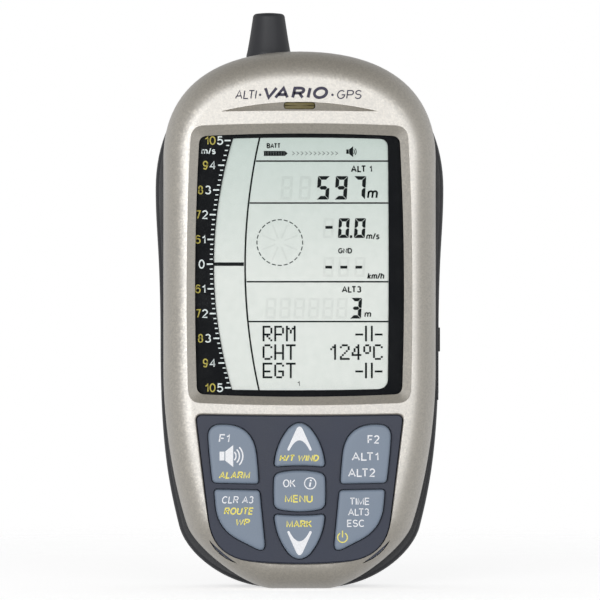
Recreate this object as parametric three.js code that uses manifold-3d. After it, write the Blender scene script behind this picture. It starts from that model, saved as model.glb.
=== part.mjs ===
// Portable flight navigation instrument: a hand-held GPS and variometer for pilots.
// Millimetres, +Z up. It stands on its bottom end, the screen faces -Y, and +X is the pilot's right.
// The origin is the middle of the bottom end. Two shells meet at a parting plane across Y.
import * as THREE from "three";
import { mergeVertices } from "three/addons/utils/BufferGeometryUtils.js";
import Module from "manifold-3d";

const wasm = await Module();
wasm.setup();

// ---------------------------------------------------------------- driving dimensions
const GAP = 0.3; // clearance between neighbouring pieces
const WALL = 2.2; // shell wall
const HEIGHT = 177.1; // shells, without the antenna
const HALF_WIDTH = 44.9; // front shell
const GRIP_HALF_WIDTH = 47.7; // rear shell at its thumb grips
const FOOT_HALF = 9; // flat foot on the bottom end

// Levels across the depth, front to back.
const FACE_Y = -18.8; // front face around the screen
const FACE_INNER_Y = FACE_Y + WALL;
const KEY_TOP_Y = -19.9;
const PARTING_FRONT_Y = -5; // rim of the front shell
const PARTING_REAR_Y = -4; // rim of the rear shell
const BOARD_FRONT_Y = -9.5;
const BOARD_THICKNESS = 1.6;
const BOARD_BACK_Y = BOARD_FRONT_Y + BOARD_THICKNESS;
const BACK_Y = 19.4; // back face and battery door
const PAD_Y = 20; // raised bracket pad
const BACK_INNER_Y = BACK_Y - 2;

// Screen stack.
const LENS_FRONT_Y = FACE_INNER_Y + GAP;
const LENS_THICKNESS = 1.5;
const MASK_FRONT_Y = LENS_FRONT_Y + LENS_THICKNESS + GAP;
const MASK_THICKNESS = 0.3;
const LCD_FRONT_Y = MASK_FRONT_Y + MASK_THICKNESS + GAP;
const LCD_THICKNESS = 2;
const BACKLIGHT_FRONT_Y = LCD_FRONT_Y + LCD_THICKNESS + GAP;
const LCD = { halfX: 33.2, bottom: 63.8, top: 149.4 };
const LENS_LAP = 1.4; // how far the lens reaches behind the shell's lip

// Keypad stack.
const PANEL_FRONT_Y = -17.8;
const PANEL_FLANGE_Y = FACE_INNER_Y + GAP;
const PANEL_BACK_Y = -15.1;
const KEY_CLEARANCE = 0.35; // between a key and its hole in the panel
const KEY_FLANGE = 0.65; // how far a key's flange stands out round it
const KEY_FLANGE_Y = [-14.8, -13.8];
const MAT_Y = [-12.4, -11.6];
const PLUNGER_RADIUS = 3;
const PLUNGER_END_Y = -11.8;
const DOME_SHEET_Y = [-10.0, -9.8];
const DOME_TOP_Y = -10.5;

// Battery compartment: four AA cells side by side behind a door that slides off downwards.
const CELL = { radius: 7.15, bottom: 22.8, top: 72.8, nub: 1.2, pitch: 15, y: 9.2 };
const CELL_COUNT = 4;
const TRAY = { halfX: 31.1, bottom: 18, top: 77.5, front: 0.2, back: 16, wall: 1.15 };
const DOOR = { halfX: 30, top: 80, edgeY: 14.5, gap: GAP };
const RAIL = { inner: 28.2, outer: 31.5, front: 16.4, back: 17.3, bottom: 30, top: 78 };

// Fasteners: [x, z] on the right-hand side, mirrored to the left.
const CASE_SCREWS = [
  [36.5, 34],
  [39.8, 108],
  [27, 163],
];
const BOARD_SCREWS = [
  [38.4, 67],
  [33.5, 155.5],
];
const CASE_SCREW = { head: 2.6, headY: [14.9, 17.2], shank: 1.2, tipY: -12.5 };
const BOARD_SCREW = { head: 2, shank: 0.9, tipY: -13.5 };

// Stub antenna on the top end, left of the middle.
const ANTENNA = { x: -10.2, y: 5.5, top: 190.6, base: 169, topRadius: 5.4, baseRadius: 7.5 };

// Socket bay in the right-hand side, under a rubber cover that swings on its rear edge.
const BAY = { bottom: 64, top: 100, front: -1, back: 10, outer: 46.1, floor: 44.2 };
const COVER_THICKNESS = 1.6;
const HINGE = { x: BAY.outer - COVER_THICKNESS / 2, y: BAY.back - COVER_THICKNESS / 2 };
const HINGE_PIN = { radius: 0.35, bore: 0.5, grip: 1.5, reach: 2 };
const SOCKETS_Z = { charging: 72, data: 83, sensor: 93 };
const SOCKET_Y = 4.5;

const SPEAKER = { x: 0, z: 97, radius: 13, y: [12.6, 17] };
const BRACKET = { z: 129, halfX: 22, halfZ: 12, insertX: 14 };
const INDICATOR = { z: 158.9, halfX: 5.2, halfZ: 1.2 };

// ---------------------------------------------------------------- materials
function finish(hex, roughness, metalness = 0, opacity = 1) {
  return new THREE.MeshStandardMaterial({
    color: hex,
    roughness,
    metalness,
    opacity,
    transparent: opacity < 1,
  });
}
const PAINT = finish(0xb9b1a2, 0.42, 0.55);
const DARK_PLASTIC = finish(0x3b3d42, 0.62);
const RUBBER = finish(0x2b2c2f, 0.85);
const CLEAR = finish(0xdfe6e2, 0.08, 0, 0.35);
const BLACK_PRINT = finish(0x14151b, 0.4);
const LCD_GLASS = finish(0xd5dcd6, 0.25);
const DIFFUSER = finish(0xf0f2ee, 0.5);
const PANEL_PLASTIC = finish(0x41454f, 0.7);
const KEY_SILICONE = finish(0x78838f, 0.6);
const AMBER = finish(0x8c8a3a, 0.25, 0, 0.8);
const BOARD_GREEN = finish(0x1f5a3a, 0.5);
const CHIP_BLACK = finish(0x1b1b1d, 0.55);
const TIN = finish(0xb8bcc0, 0.35, 0.9);
const BRASS = finish(0xb08d4a, 0.35, 0.9);
const STEEL = finish(0x8f9296, 0.35, 0.9);
const CELL_WRAP = finish(0x2f6b8a, 0.4);
const WHITE_PLASTIC = finish(0xd9d8d2, 0.6);
const RED_WIRE = finish(0xa82222, 0.55);
const BLACK_WIRE = finish(0x202022, 0.55);

// ---------------------------------------------------------------- solids
// A closed geometry as a manifold-3d solid.
function solid(geometry) {
  const bare = new THREE.BufferGeometry();
  bare.setAttribute("position", geometry.getAttribute("position"));
  if (geometry.index) bare.setIndex(geometry.index);
  const merged = mergeVertices(bare, 1e-4);
  return new wasm.Manifold(
    new wasm.Mesh({
      numProp: 3,
      vertProperties: merged.attributes.position.array,
      triVerts: new Uint32Array(merged.index.array),
    }),
  );
}

// A manifold-3d solid as a geometry.
function geometryOf(made) {
  const mesh = made.getMesh();
  return new THREE.BufferGeometry()
    .setAttribute("position", new THREE.BufferAttribute(mesh.vertProperties, 3))
    .setIndex(new THREE.BufferAttribute(mesh.triVerts, 1));
}

const joined = (first, ...others) => others.reduce((all, one) => all.add(one), first);
const cutBy = (first, ...others) => others.reduce((all, one) => all.subtract(one), first);

// A box between two corners.
function block([x0, x1], [y0, y1], [z0, z1]) {
  const box = new THREE.BoxGeometry(x1 - x0, y1 - y0, z1 - z0);
  return solid(box.translate((x0 + x1) / 2, (y0 + y1) / 2, (z0 + z1) / 2));
}

// A round bar along Y.
function barY(x, z, radius, [y0, y1], sides = 12) {
  const bar = new THREE.CylinderGeometry(radius, radius, y1 - y0, sides);
  return solid(bar.translate(x, (y0 + y1) / 2, z));
}

// A round bar along X.
function barX(y, z, radius, [x0, x1], sides = 12) {
  const bar = new THREE.CylinderGeometry(radius, radius, x1 - x0, sides);
  return solid(bar.rotateZ(Math.PI / 2).translate((x0 + x1) / 2, y, z));
}

// A solid of revolution about the vertical line at x, y, from [radius, z] pairs.
function turned(x, y, profile, sides = 24) {
  const points = profile.map(([radius, z]) => new THREE.Vector2(radius, z));
  return solid(new THREE.LatheGeometry(points, sides).rotateX(Math.PI / 2).translate(x, y, 0));
}

// A solid through a row of outlines with equal counts of points: levels are [points, y].
function loft(levels) {
  const rows = levels[0][1] > levels[levels.length - 1][1] ? levels : [...levels].reverse();
  const count = rows[0][0].length;
  const positions = rows.flatMap(([points, y]) => points.flatMap((p) => [p.x, y, p.y]));
  const index = [];
  const ends = [0, rows.length - 1].map((row) => {
    const [points, y] = rows[row];
    const sum = points.reduce((total, p) => total.add(p), new THREE.Vector2());
    positions.push(sum.x / count, y, sum.y / count);
    return positions.length / 3 - 1;
  });
  for (let i = 0; i < count; i++) {
    const next = (i + 1) % count;
    for (let row = 0; row < rows.length - 1; row++) {
      const [a, b] = [row * count + i, row * count + next];
      index.push(a, b, b + count, a, b + count, a + count);
    }
    const last = (rows.length - 1) * count;
    index.push(ends[0], next, i, ends[1], last + i, last + next);
  }
  const geometry = new THREE.BufferGeometry();
  geometry.setAttribute("position", new THREE.Float32BufferAttribute(positions, 3));
  return solid(geometry.setIndex(index));
}

// A flat outline in X and Z, as a solid between two depths.
const plate = (points, [y0, y1]) => loft([[points, y1], [points, y0]]);

// A round wire along a smooth curve through points.
function wire(points, radius, steps) {
  const section = new THREE.Shape().absarc(0, 0, radius, 0, 2 * Math.PI);
  const extrudePath = new THREE.CatmullRomCurve3(points.map((p) => new THREE.Vector3(...p)));
  const options = { steps, extrudePath, curveSegments: 4, bevelEnabled: false };
  return solid(new THREE.ExtrudeGeometry(section, options));
}

// ---------------------------------------------------------------- outlines in X and Z
// A closed outline from its right-hand half, drawn from the foot to the top middle.
function mirrored(half, divisions) {
  const right = half.curves.flatMap((curve, i) =>
    curve.getPoints(curve.isLineCurve ? 1 : divisions).slice(i ? 1 : 0),
  );
  const left = right.slice(0, -1).reverse().map((p) => new THREE.Vector2(-p.x, p.y));
  return [...right, ...left];
}

function frontOutline() {
  const half = new THREE.Path();
  half.moveTo(FOOT_HALF, 0);
  half.bezierCurveTo(17, 0, 34.4, 12.9, 37.1, 21);
  half.bezierCurveTo(41.1, 33, HALF_WIDTH, 53, HALF_WIDTH, 72);
  half.lineTo(HALF_WIDTH, 142);
  half.bezierCurveTo(HALF_WIDTH, 161.7, 32.1, HEIGHT, 0, HEIGHT);
  return mirrored(half, 9);
}

// The rear shell shows past the front one at its thumb grips and at the bottom corners.
function rearOutline() {
  const top = HEIGHT - 0.5;
  const half = new THREE.Path();
  half.moveTo(FOOT_HALF, 0);
  half.bezierCurveTo(23.6, 0, 37.4, 10.5, 39.9, 20.2);
  half.bezierCurveTo(43.4, 34, 46.1, 48, 46.1, 80);
  half.bezierCurveTo(46.1, 112, GRIP_HALF_WIDTH, 117, GRIP_HALF_WIDTH, 132);
  half.bezierCurveTo(GRIP_HALF_WIDTH, 156, 33, top, 0, top);
  return mirrored(half, 8);
}

// Moves a closed outline, drawn counter-clockwise, inwards by a distance (outwards if negative).
function inset(points, distance) {
  const count = points.length;
  return points.map((p, i) => {
    const along = points[(i + 1) % count].clone().sub(points[(i - 1 + count) % count]).normalize();
    return new THREE.Vector2(p.x - along.y * distance, p.y + along.x * distance);
  });
}

// An outline from corners {x, z, round, bow}, counter-clockwise. round is the corner's radius, and
// bow is how far the side that leaves the corner stands out at its middle.
function bowed(corners, divisions = 4) {
  const sides = corners.map((from, i) => {
    const to = corners[(i + 1) % corners.length];
    const a = new THREE.Vector2(from.x, from.z);
    const b = new THREE.Vector2(to.x, to.z);
    const along = b.clone().sub(a);
    const outward = new THREE.Vector2(along.y, -along.x).normalize();
    const middle = a.clone().add(b).multiplyScalar(0.5);
    const control = middle.addScaledVector(outward, 2 * (from.bow ?? 0));
    const start = from.round / along.length();
    const end = 1 - to.round / along.length();
    const steps = from.bow ? divisions * (along.length() > 25 ? 2 : 1) : 1;
    return { curve: new THREE.QuadraticBezierCurve(a, control, b), start, end, steps };
  });
  return sides.flatMap((side, i) => {
    const next = sides[(i + 1) % sides.length];
    const corner = corners[(i + 1) % corners.length];
    const span = side.end - side.start;
    const edge = Array.from({ length: side.steps + 1 }, (_, k) =>
      side.curve.getPoint(side.start + (span * k) / side.steps),
    );
    const turn = new THREE.QuadraticBezierCurve(
      side.curve.getPoint(side.end),
      new THREE.Vector2(corner.x, corner.z),
      next.curve.getPoint(next.start),
    );
    return [...edge, ...turn.getPoints(divisions).slice(1, -1)];
  });
}

const rectangle = (halfX, bottom, top) =>
  [
    [-halfX, bottom],
    [halfX, bottom],
    [halfX, top],
    [-halfX, top],
  ].map(([x, z]) => new THREE.Vector2(x, z));

// The screen's window in the front shell, and the edge of the bevel that leads down to it.
const WINDOW = bowed([
  { x: -33.7, z: 64.2, round: 2.6, bow: 0.9 },
  { x: 33.7, z: 64.2, round: 2.6, bow: 1 },
  { x: 32.9, z: 148.9, round: 2.6, bow: 0.9 },
  { x: -32.9, z: 148.9, round: 2.6, bow: 1 },
]);
const BEVEL_EDGE = bowed([
  { x: -36.3, z: 61.8, round: 4, bow: 0.9 },
  { x: 36.3, z: 61.8, round: 4, bow: 1.1 },
  { x: 35.3, z: 151.8, round: 4, bow: 0.9 },
  { x: -35.3, z: 151.8, round: 4, bow: 1.1 },
]);

// The part of the LCD that shows: its left side follows the climb scale's arc.
const LCD_VIEW = bowed([
  { x: -22.8, z: 65.6, round: 0.4, bow: 0.3 },
  { x: 29, z: 65.9, round: 3.4, bow: 0.3 },
  { x: 29, z: 148, round: 2.8, bow: 0.4 },
  { x: -22.5, z: 148.2, round: 0.4, bow: 6.1 },
]);

const KEYPAD_OPENING = bowed([
  { x: -28.6, z: 10.9, round: 12, bow: 2.5 },
  { x: 28.6, z: 10.9, round: 12, bow: 0 },
  { x: 34.3, z: 57.6, round: 2.6, bow: -0.4 },
  { x: -34.3, z: 57.6, round: 2.6, bow: 0 },
]);

const CRESCENT = bowed([
  { x: -25.8, z: 157, round: 0.2, bow: 0.2 },
  { x: 25.8, z: 157, round: 0.2, bow: 3.1 },
]);

// Mirrors corners to the other side and keeps them counter-clockwise.
function flipped(corners) {
  const count = corners.length;
  return corners.map((_, i) => {
    const corner = corners[count - 1 - i];
    const leaving = corners[(2 * count - 2 - i) % count];
    return { ...corner, x: -corner.x, bow: leaving.bow };
  });
}

const UPPER_LEFT_KEY = [
  { x: -28.5, z: 35.1, round: 1.4, bow: 0 },
  { x: -13.4, z: 34.8, round: 1.3, bow: 0.3 },
  { x: -15.5, z: 54.4, round: 9.6, bow: 0 },
  { x: -30.2, z: 54.2, round: 4.4, bow: 0.2 },
];
const LOWER_LEFT_KEY = [
  { x: -27, z: 20, round: 8, bow: 0 },
  { x: -11.1, z: 11.9, round: 3.8, bow: 0 },
  { x: -13.1, z: 32.7, round: 1.3, bow: 0 },
  { x: -28, z: 33, round: 1.3, bow: 0 },
];
const UP_KEY = [
  { x: -8.3, z: 40.3, round: 1, bow: -0.7 },
  { x: 8.3, z: 40.3, round: 1, bow: 2.1 },
  { x: 0, z: 55.8, round: 2.8, bow: 2.1 },
];
const MENU_KEY = [
  { x: -8.3, z: 26.8, round: 2, bow: 1.1 },
  { x: 8.3, z: 26.8, round: 2, bow: 0.2 },
  { x: 8.3, z: 38.1, round: 2, bow: 1.1 },
  { x: -8.3, z: 38.1, round: 2, bow: 0.2 },
];
const DOWN_KEY = [
  { x: 0, z: 9.1, round: 2.8, bow: 2.1 },
  { x: 8.3, z: 24.9, round: 1, bow: -0.7 },
  { x: -8.3, z: 24.9, round: 1, bow: 2.1 },
];

// Name, outline, and the middle of the plunger under each key.
const KEYS = [
  ["key_alarm", bowed(UPPER_LEFT_KEY), -21.5, 43.5],
  ["key_up", bowed(UP_KEY), 0, 46.5],
  ["key_altitude", bowed(flipped(UPPER_LEFT_KEY)), 21.5, 43.5],
  ["key_route", bowed(LOWER_LEFT_KEY), -19.5, 24.5],
  ["key_menu", bowed(MENU_KEY), 0, 32.4],
  ["key_down", bowed(DOWN_KEY), 0, 18.6],
  ["key_power", bowed(flipped(LOWER_LEFT_KEY)), 19.5, 24.5],
];

const bothSides = (places) => places.flatMap(([x, z]) => [[x, z], [-x, z]]);
const cellX = (i) => (i - (CELL_COUNT - 1) / 2) * CELL.pitch;

// ---------------------------------------------------------------- shells
// Depth profiles: [inset, y], from the rim to the face.
const FRONT_PROFILE = [
  [0, PARTING_FRONT_Y],
  [0, -9],
  [0.4, -11.8],
  [1.3, -14.2],
  [2.8, -16.4],
  [5, -18],
  [7.6, FACE_Y],
];
const FRONT_CAVITY_PROFILE = [
  [WALL, PARTING_FRONT_Y + 1],
  [WALL, -9],
  [2.6, -11.2],
  [3.4, -13.2],
  [4.9, -15],
  [7, -16.1],
  [9.2, FACE_INNER_Y],
];
const REAR_PROFILE = [
  [1.5, PARTING_REAR_Y],
  [0.4, -3],
  [0, -1.4],
  [0, 10.5],
  [0.8, 13.6],
  [2.6, 16.4],
  [5.6, 18.6],
  [10, BACK_Y],
];
const CAVITY_RIM = WALL + 0.2;
const REAR_CAVITY_PROFILE = [
  [CAVITY_RIM, PARTING_REAR_Y - 1],
  [CAVITY_RIM, 10],
  [3.2, 12.8],
  [5, 15.2],
  [8, 16.9],
  [12, BACK_INNER_Y],
];

const DOOR_INNER_PROFILE = [
  [2, 5],
  [2, 9.9],
  [2.8, 12.8],
  [4.6, 15.3],
  [7.6, 17],
  [12, BACK_INNER_Y],
];

const profiled = (outline, profile) => loft(profile.map(([d, y]) => [inset(outline, d), y]));
const frontOuter = () => profiled(frontOutline(), FRONT_PROFILE);
const rearOuter = () => profiled(rearOutline(), REAR_PROFILE);
const rearCavity = (extra = 0) =>
  profiled(frontOutline(), REAR_CAVITY_PROFILE.map(([d, y]) => [d + extra, y]));

function screenOpening() {
  return loft([
    [WINDOW, FACE_INNER_Y + 4],
    [WINDOW, FACE_INNER_Y - 0.3],
    [BEVEL_EDGE, FACE_Y],
    [BEVEL_EDGE, FACE_Y - 4],
  ]);
}

function indicatorSlot(margin) {
  const { z, halfX, halfZ } = INDICATOR;
  const corner = { round: halfZ - 0.1, bow: 0 };
  return bowed(
    [
      [-1, -1],
      [1, -1],
      [1, 1],
      [-1, 1],
    ].map(([sx, sz]) => ({ x: sx * (halfX - margin), z: z + sz * (halfZ - margin), ...corner })),
    3,
  );
}

function frontShell() {
  const cavity = profiled(frontOutline(), FRONT_CAVITY_PROFILE);
  const bosses = [
    ...bothSides(CASE_SCREWS).map(([x, z]) => barY(x, z, 2.8, [FACE_Y, PARTING_FRONT_Y])),
    ...bothSides(BOARD_SCREWS).map(([x, z]) => barY(x, z, 2.3, [FACE_Y, BOARD_FRONT_Y - GAP])),
  ];
  const shell = joined(cutBy(frontOuter(), cavity), joined(...bosses).intersect(frontOuter()));
  return cutBy(
    shell,
    screenOpening(),
    plate(KEYPAD_OPENING, [FACE_Y - 2, FACE_INNER_Y + 3]),
    plate(inset(KEYPAD_OPENING, -1.5), [FACE_INNER_Y, FACE_INNER_Y + 5]),
    plate(CRESCENT, [FACE_Y - 2, FACE_Y + 0.7]),
    plate(indicatorSlot(0), [FACE_Y - 2, FACE_INNER_Y + 2]),
    ...bothSides(CASE_SCREWS).map(([x, z]) => barY(x, z, 1.5, [-13, 0], 10)),
    ...bothSides(BOARD_SCREWS).map(([x, z]) => barY(x, z, 1.2, [-14, 0], 8)),
  );
}

// Room for the battery door: its plate, and the open-ended grooves that its rails run in.
function doorRoom() {
  const railX = RAIL.outer + 0.5;
  return joined(
    block([-DOOR.halfX - DOOR.gap, DOOR.halfX + DOOR.gap], [DOOR.edgeY - GAP, 30], [-5, DOOR.top + GAP]),
    block([-railX, railX], [RAIL.front - GAP, BACK_INNER_Y + 0.05], [-5, DOOR.top + GAP]),
  );
}

// A short upright bar at each end of the socket bay, on the cover's hinge axis.
function hingeBars(radius, beyond, within) {
  const ends = [
    [BAY.bottom - beyond, BAY.bottom + within],
    [BAY.top - within, BAY.top + beyond],
  ];
  return ends.map(([z0, z1]) => turned(HINGE.x, HINGE.y, [[0, z0], [radius, z0], [radius, z1], [0, z1]], 16));
}

function speakerSlots() {
  const { x, z, radius } = SPEAKER;
  const rows = [-3, -2, -1, 0, 1, 2, 3];
  return rows.map((row) => {
    const half = Math.sqrt((radius - 3) ** 2 - (row * 2.9) ** 2);
    const height = z + row * 2.9;
    return block([x - half, x + half], [BACK_INNER_Y - 1, BACK_Y + 1], [height - 0.7, height + 0.7]);
  });
}

function rearShell() {
  const outer = rearOuter();
  const bay = block([38.4, 46], [BAY.front - 2, BAY.back + 2], [BAY.bottom - 2, BAY.top + 2]);
  const inserts = [-1, 1].map((side) => [side * BRACKET.insertX, BRACKET.z]);
  const bosses = [
    ...bothSides(CASE_SCREWS).map(([x, z]) => barY(x, z, 4.2, [PARTING_REAR_Y, BACK_Y])),
    ...inserts.map(([x, z]) => barY(x, z, 4.6, [10.5, BACK_Y])),
    bay,
  ];
  const { halfX, halfZ, z: padZ } = BRACKET;
  const corner = { round: 2.5, bow: 0 };
  const pad = bowed(
    [
      [-1, -1],
      [1, -1],
      [1, 1],
      [-1, 1],
    ].map(([sx, sz]) => ({ x: sx * halfX, z: padZ + sz * halfZ, ...corner })),
    2,
  );
  const body = joined(
    cutBy(outer, rearCavity()),
    joined(...bosses).intersect(outer),
    plate(pad, [BACK_Y - 1, PAD_Y]),
  );
  const { x, y, baseRadius, base } = ANTENNA;
  const opened = cutBy(
    body,
    doorRoom(),
    ...speakerSlots(),
    ...bothSides(CASE_SCREWS).map(([sx, sz]) => barY(sx, sz, 1.5, [-6, 20], 10)),
    ...bothSides(CASE_SCREWS).map(([sx, sz]) => barY(sx, sz, 2.9, [CASE_SCREW.headY[0] - GAP, 25])),
    ...inserts.map(([ix, iz]) => barY(ix, iz, 3.1, [12, 25])),
    turned(x, y, [[0, 150], [9.4, 150], [9.4, base + 2.6], [0, base + 2.6]]),
    turned(x, y, [[0, base], [baseRadius + GAP, base], [baseRadius + GAP, 185], [0, 185]]),
    block([BAY.floor, 60], [BAY.front - GAP, BAY.back + GAP], [BAY.bottom - GAP, BAY.top + GAP]),
    barX(SOCKET_Y, SOCKETS_Z.charging, 3.5, [30, 50]),
    block([30, 50], [SOCKET_Y - 2.3, SOCKET_Y + 2.3], [SOCKETS_Z.data - 4.3, SOCKETS_Z.data + 4.3]),
    barX(SOCKET_Y, SOCKETS_Z.sensor, 3.5, [30, 50]),
  );
  const { radius, grip, reach } = HINGE_PIN;
  return joined(opened, ...hingeBars(radius, grip, reach));
}

// The seal that closes the joint between the two shells.
function caseSeal() {
  const levels = [PARTING_FRONT_Y + GAP, PARTING_REAR_Y - GAP];
  const outline = frontOutline();
  return cutBy(plate(inset(outline, 0.6), levels), plate(inset(outline, 2), [-9, 0]));
}

// ---------------------------------------------------------------- screen
const screenLens = () => plate(inset(WINDOW, -LENS_LAP), [LENS_FRONT_Y, LENS_FRONT_Y + LENS_THICKNESS]);

function scaleMask() {
  const film = plate(inset(WINDOW, -LENS_LAP), [MASK_FRONT_Y, MASK_FRONT_Y + MASK_THICKNESS]);
  return cutBy(film, plate(LCD_VIEW, [-30, 0]));
}

// A ring round the LCD, between two depths.
function lcdRing(levels) {
  const { halfX, bottom, top } = LCD;
  const ring = plate(rectangle(halfX + 2, bottom - 1.6, top + 1.6), levels);
  return cutBy(ring, plate(rectangle(halfX + GAP, bottom - GAP, top + GAP), [-30, 0]));
}
const lensGasket = () => lcdRing([LCD_FRONT_Y, LCD_FRONT_Y + 0.6]);
const lcdFrame = () => lcdRing([LCD_FRONT_Y + 0.6 + GAP, BOARD_FRONT_Y - GAP]);

const lcdPanel = () =>
  plate(rectangle(LCD.halfX, LCD.bottom, LCD.top), [LCD_FRONT_Y, LCD_FRONT_Y + LCD_THICKNESS]);

function lcdBacklight() {
  const back = BOARD_FRONT_Y - GAP;
  return plate(rectangle(LCD.halfX, LCD.bottom, LCD.top), [BACKLIGHT_FRONT_Y, back]);
}

function indicatorLens() {
  const { z } = INDICATOR;
  const window = plate(indicatorSlot(0.25), [-18, -16]);
  const flange = plate(indicatorSlot(-0.8), [FACE_INNER_Y + GAP, -15.4]);
  return joined(window, flange, block([-4.4, 4.4], [-16.2, -9.9], [z - 0.8, z + 0.8]));
}

// ---------------------------------------------------------------- keypad
function keypadPanel() {
  const panel = joined(
    plate(inset(KEYPAD_OPENING, GAP), [PANEL_FRONT_Y, PANEL_BACK_Y]),
    plate(inset(KEYPAD_OPENING, -1.2), [PANEL_FLANGE_Y, PANEL_BACK_Y]),
  );
  return cutBy(panel, ...KEYS.map(([, outline]) => plate(inset(outline, -KEY_CLEARANCE), [-25, 0])));
}

function keypadMat() {
  const mat = plate(inset(KEYPAD_OPENING, 0.4), MAT_Y);
  return cutBy(mat, ...KEYS.map(([, , x, z]) => barY(x, z, PLUNGER_RADIUS + 0.4, [-20, 0])));
}

// One film with a metal snap dome under each key.
function domeSheet() {
  const sheet = plate(inset(KEYPAD_OPENING, 2.5), DOME_SHEET_Y);
  const domes = KEYS.map(([, , x, z]) => {
    const profile = [[0, 0], [3.2, 0], [2.2, 0.45], [0, 0.6]].map(([r, h]) => new THREE.Vector2(r, h));
    const dome = new THREE.LatheGeometry(profile, 8).rotateX(Math.PI);
    return solid(dome.translate(x, DOME_TOP_Y + 0.6, z));
  });
  return joined(sheet, ...domes);
}

// A domed cap, a flange that the panel holds back, and a plunger over the snap dome.
function key(outline, x, z) {
  const cap = loft([
    [outline, KEY_FLANGE_Y[0] + 0.1],
    [outline, KEY_TOP_Y + 1],
    [inset(outline, 0.3), KEY_TOP_Y + 0.35],
    [inset(outline, 0.9), KEY_TOP_Y],
  ]);
  const flange = plate(inset(outline, -KEY_FLANGE), KEY_FLANGE_Y);
  return joined(cap, flange, barY(x, z, PLUNGER_RADIUS, [KEY_FLANGE_Y[1] - 0.1, PLUNGER_END_Y]));
}

// ---------------------------------------------------------------- board
function mainBoard() {
  const board = plate(inset(frontOutline(), 3.4), [BOARD_FRONT_Y, BOARD_BACK_Y]);
  return cutBy(
    board,
    ...bothSides(CASE_SCREWS).map(([x, z]) => barY(x, z, 3.3, [-20, 0])),
    ...bothSides(BOARD_SCREWS).map(([x, z]) => barY(x, z, 1.3, [-20, 0], 10)),
  );
}

// A part on the board's back face.
function onBoard(x, z, halfX, halfZ, height) {
  const foot = BOARD_BACK_Y + GAP;
  return block([x - halfX, x + halfX], [foot, foot + height], [z - halfZ, z + halfZ]);
}

const pressureSensor = () => {
  const foot = BOARD_BACK_Y + GAP;
  return joined(onBoard(20, 143, 3.5, 3.5, 1.6), barY(20, 143, 1.6, [foot + 1.5, foot + 3.4], 12));
};

// ---------------------------------------------------------------- antenna
function antennaCap() {
  const { x, y, top, base, topRadius, baseRadius } = ANTENNA;
  const wall = 1.4;
  return turned(x, y, [
    [9, base],
    [9, base + 1.3],
    [baseRadius, base + 1.3],
    [baseRadius, 176.4],
    [topRadius, top - 1],
    [topRadius - 0.9, top - 0.2],
    [0, top],
    [0, top - wall - 0.3],
    [topRadius - wall - 0.4, top - wall - 0.5],
    [baseRadius - wall, 176.4],
    [baseRadius - wall, base],
    [9, base],
  ]);
}

const antennaSeal = () => {
  const { x, y, base, baseRadius } = ANTENNA;
  const [inner, outer, low, high] = [baseRadius + 0.2, 9, base + 1.6, base + 2.3];
  return turned(x, y, [[inner, low], [outer, low], [outer, high], [inner, high], [inner, low]]);
};

// The ceramic rod that carries the helical antenna, with its foot.
const antennaElement = () => {
  const { x, y, base, top } = ANTENNA;
  const [foot, shoulder, tip] = [base + 0.4, base + 2, top - 3.4];
  return turned(x, y, [[0, foot], [5, foot], [5, shoulder], [3.3, shoulder], [3.3, tip], [0, tip]], 16);
};

const antennaLead = () => {
  const { x, y, base } = ANTENNA;
  const points = [
    [x, y, base - 0.2],
    [x, y, base - 4],
    [x - 0.5, y - 2.5, base - 9],
    [x - 1.5, -0.6, base - 13],
    [x - 2, -2.6, base - 15.3],
    [x - 2, -4.6, base - 16],
  ];
  return wire(points, 0.7, 14);
};

// ---------------------------------------------------------------- batteries
// An AA cell, with its nub up or down.
function batteryCell(i) {
  const { radius, bottom, top, nub, y } = CELL;
  const up = i % 2 === 0;
  const height = (z) => (up ? z : bottom + top - z);
  const profile = [
    [0, bottom],
    [radius - 0.4, bottom],
    [radius, bottom + 0.4],
    [radius, top - nub - 0.4],
    [radius - 0.4, top - nub],
    [2.6, top - nub],
    [2.6, top],
    [0, top],
  ].map(([r, z]) => [r, height(z)]);
  return turned(cellX(i), y, up ? profile : profile.reverse(), 16);
}

// A bent contact under some cells: a plate with a button for each nub and a coil foot for each case.
function contact(cells, high) {
  const { bottom, top, y } = CELL;
  const plateZ = high ? [top + 2.4, top + 2.9] : [bottom - 3, bottom - 2.5];
  const reach = high ? [top + GAP, top + 2.5] : [bottom - 2.6, bottom - GAP];
  const low = cellX(cells[0]) - 5.5;
  const far = cellX(cells[cells.length - 1]) + 5.5;
  const stubs = cells.map((i) => {
    const nubHere = (i % 2 === 0) === high;
    const tip = nubHere ? 2 : 2.4;
    const root = nubHere ? 2 : 4;
    const [lower, upper] = high ? [tip, root] : [root, tip];
    const profile = [[0, reach[0]], [lower, reach[0]], [upper, reach[1]], [0, reach[1]]];
    return turned(cellX(i), y, profile, 12);
  });
  return joined(block([low, far], [y - 5, y + 4], plateZ), ...stubs);
}

// An end contact with a tail that goes out through the tray's floor.
function endContact(i) {
  const x = cellX(i);
  const { y, bottom } = CELL;
  const tail = block([x - 1, x + 1], [y - 4, y - 3.4], [TRAY.bottom - 0.8, bottom - 2.8]);
  return joined(contact([i], false), tail);
}

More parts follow.
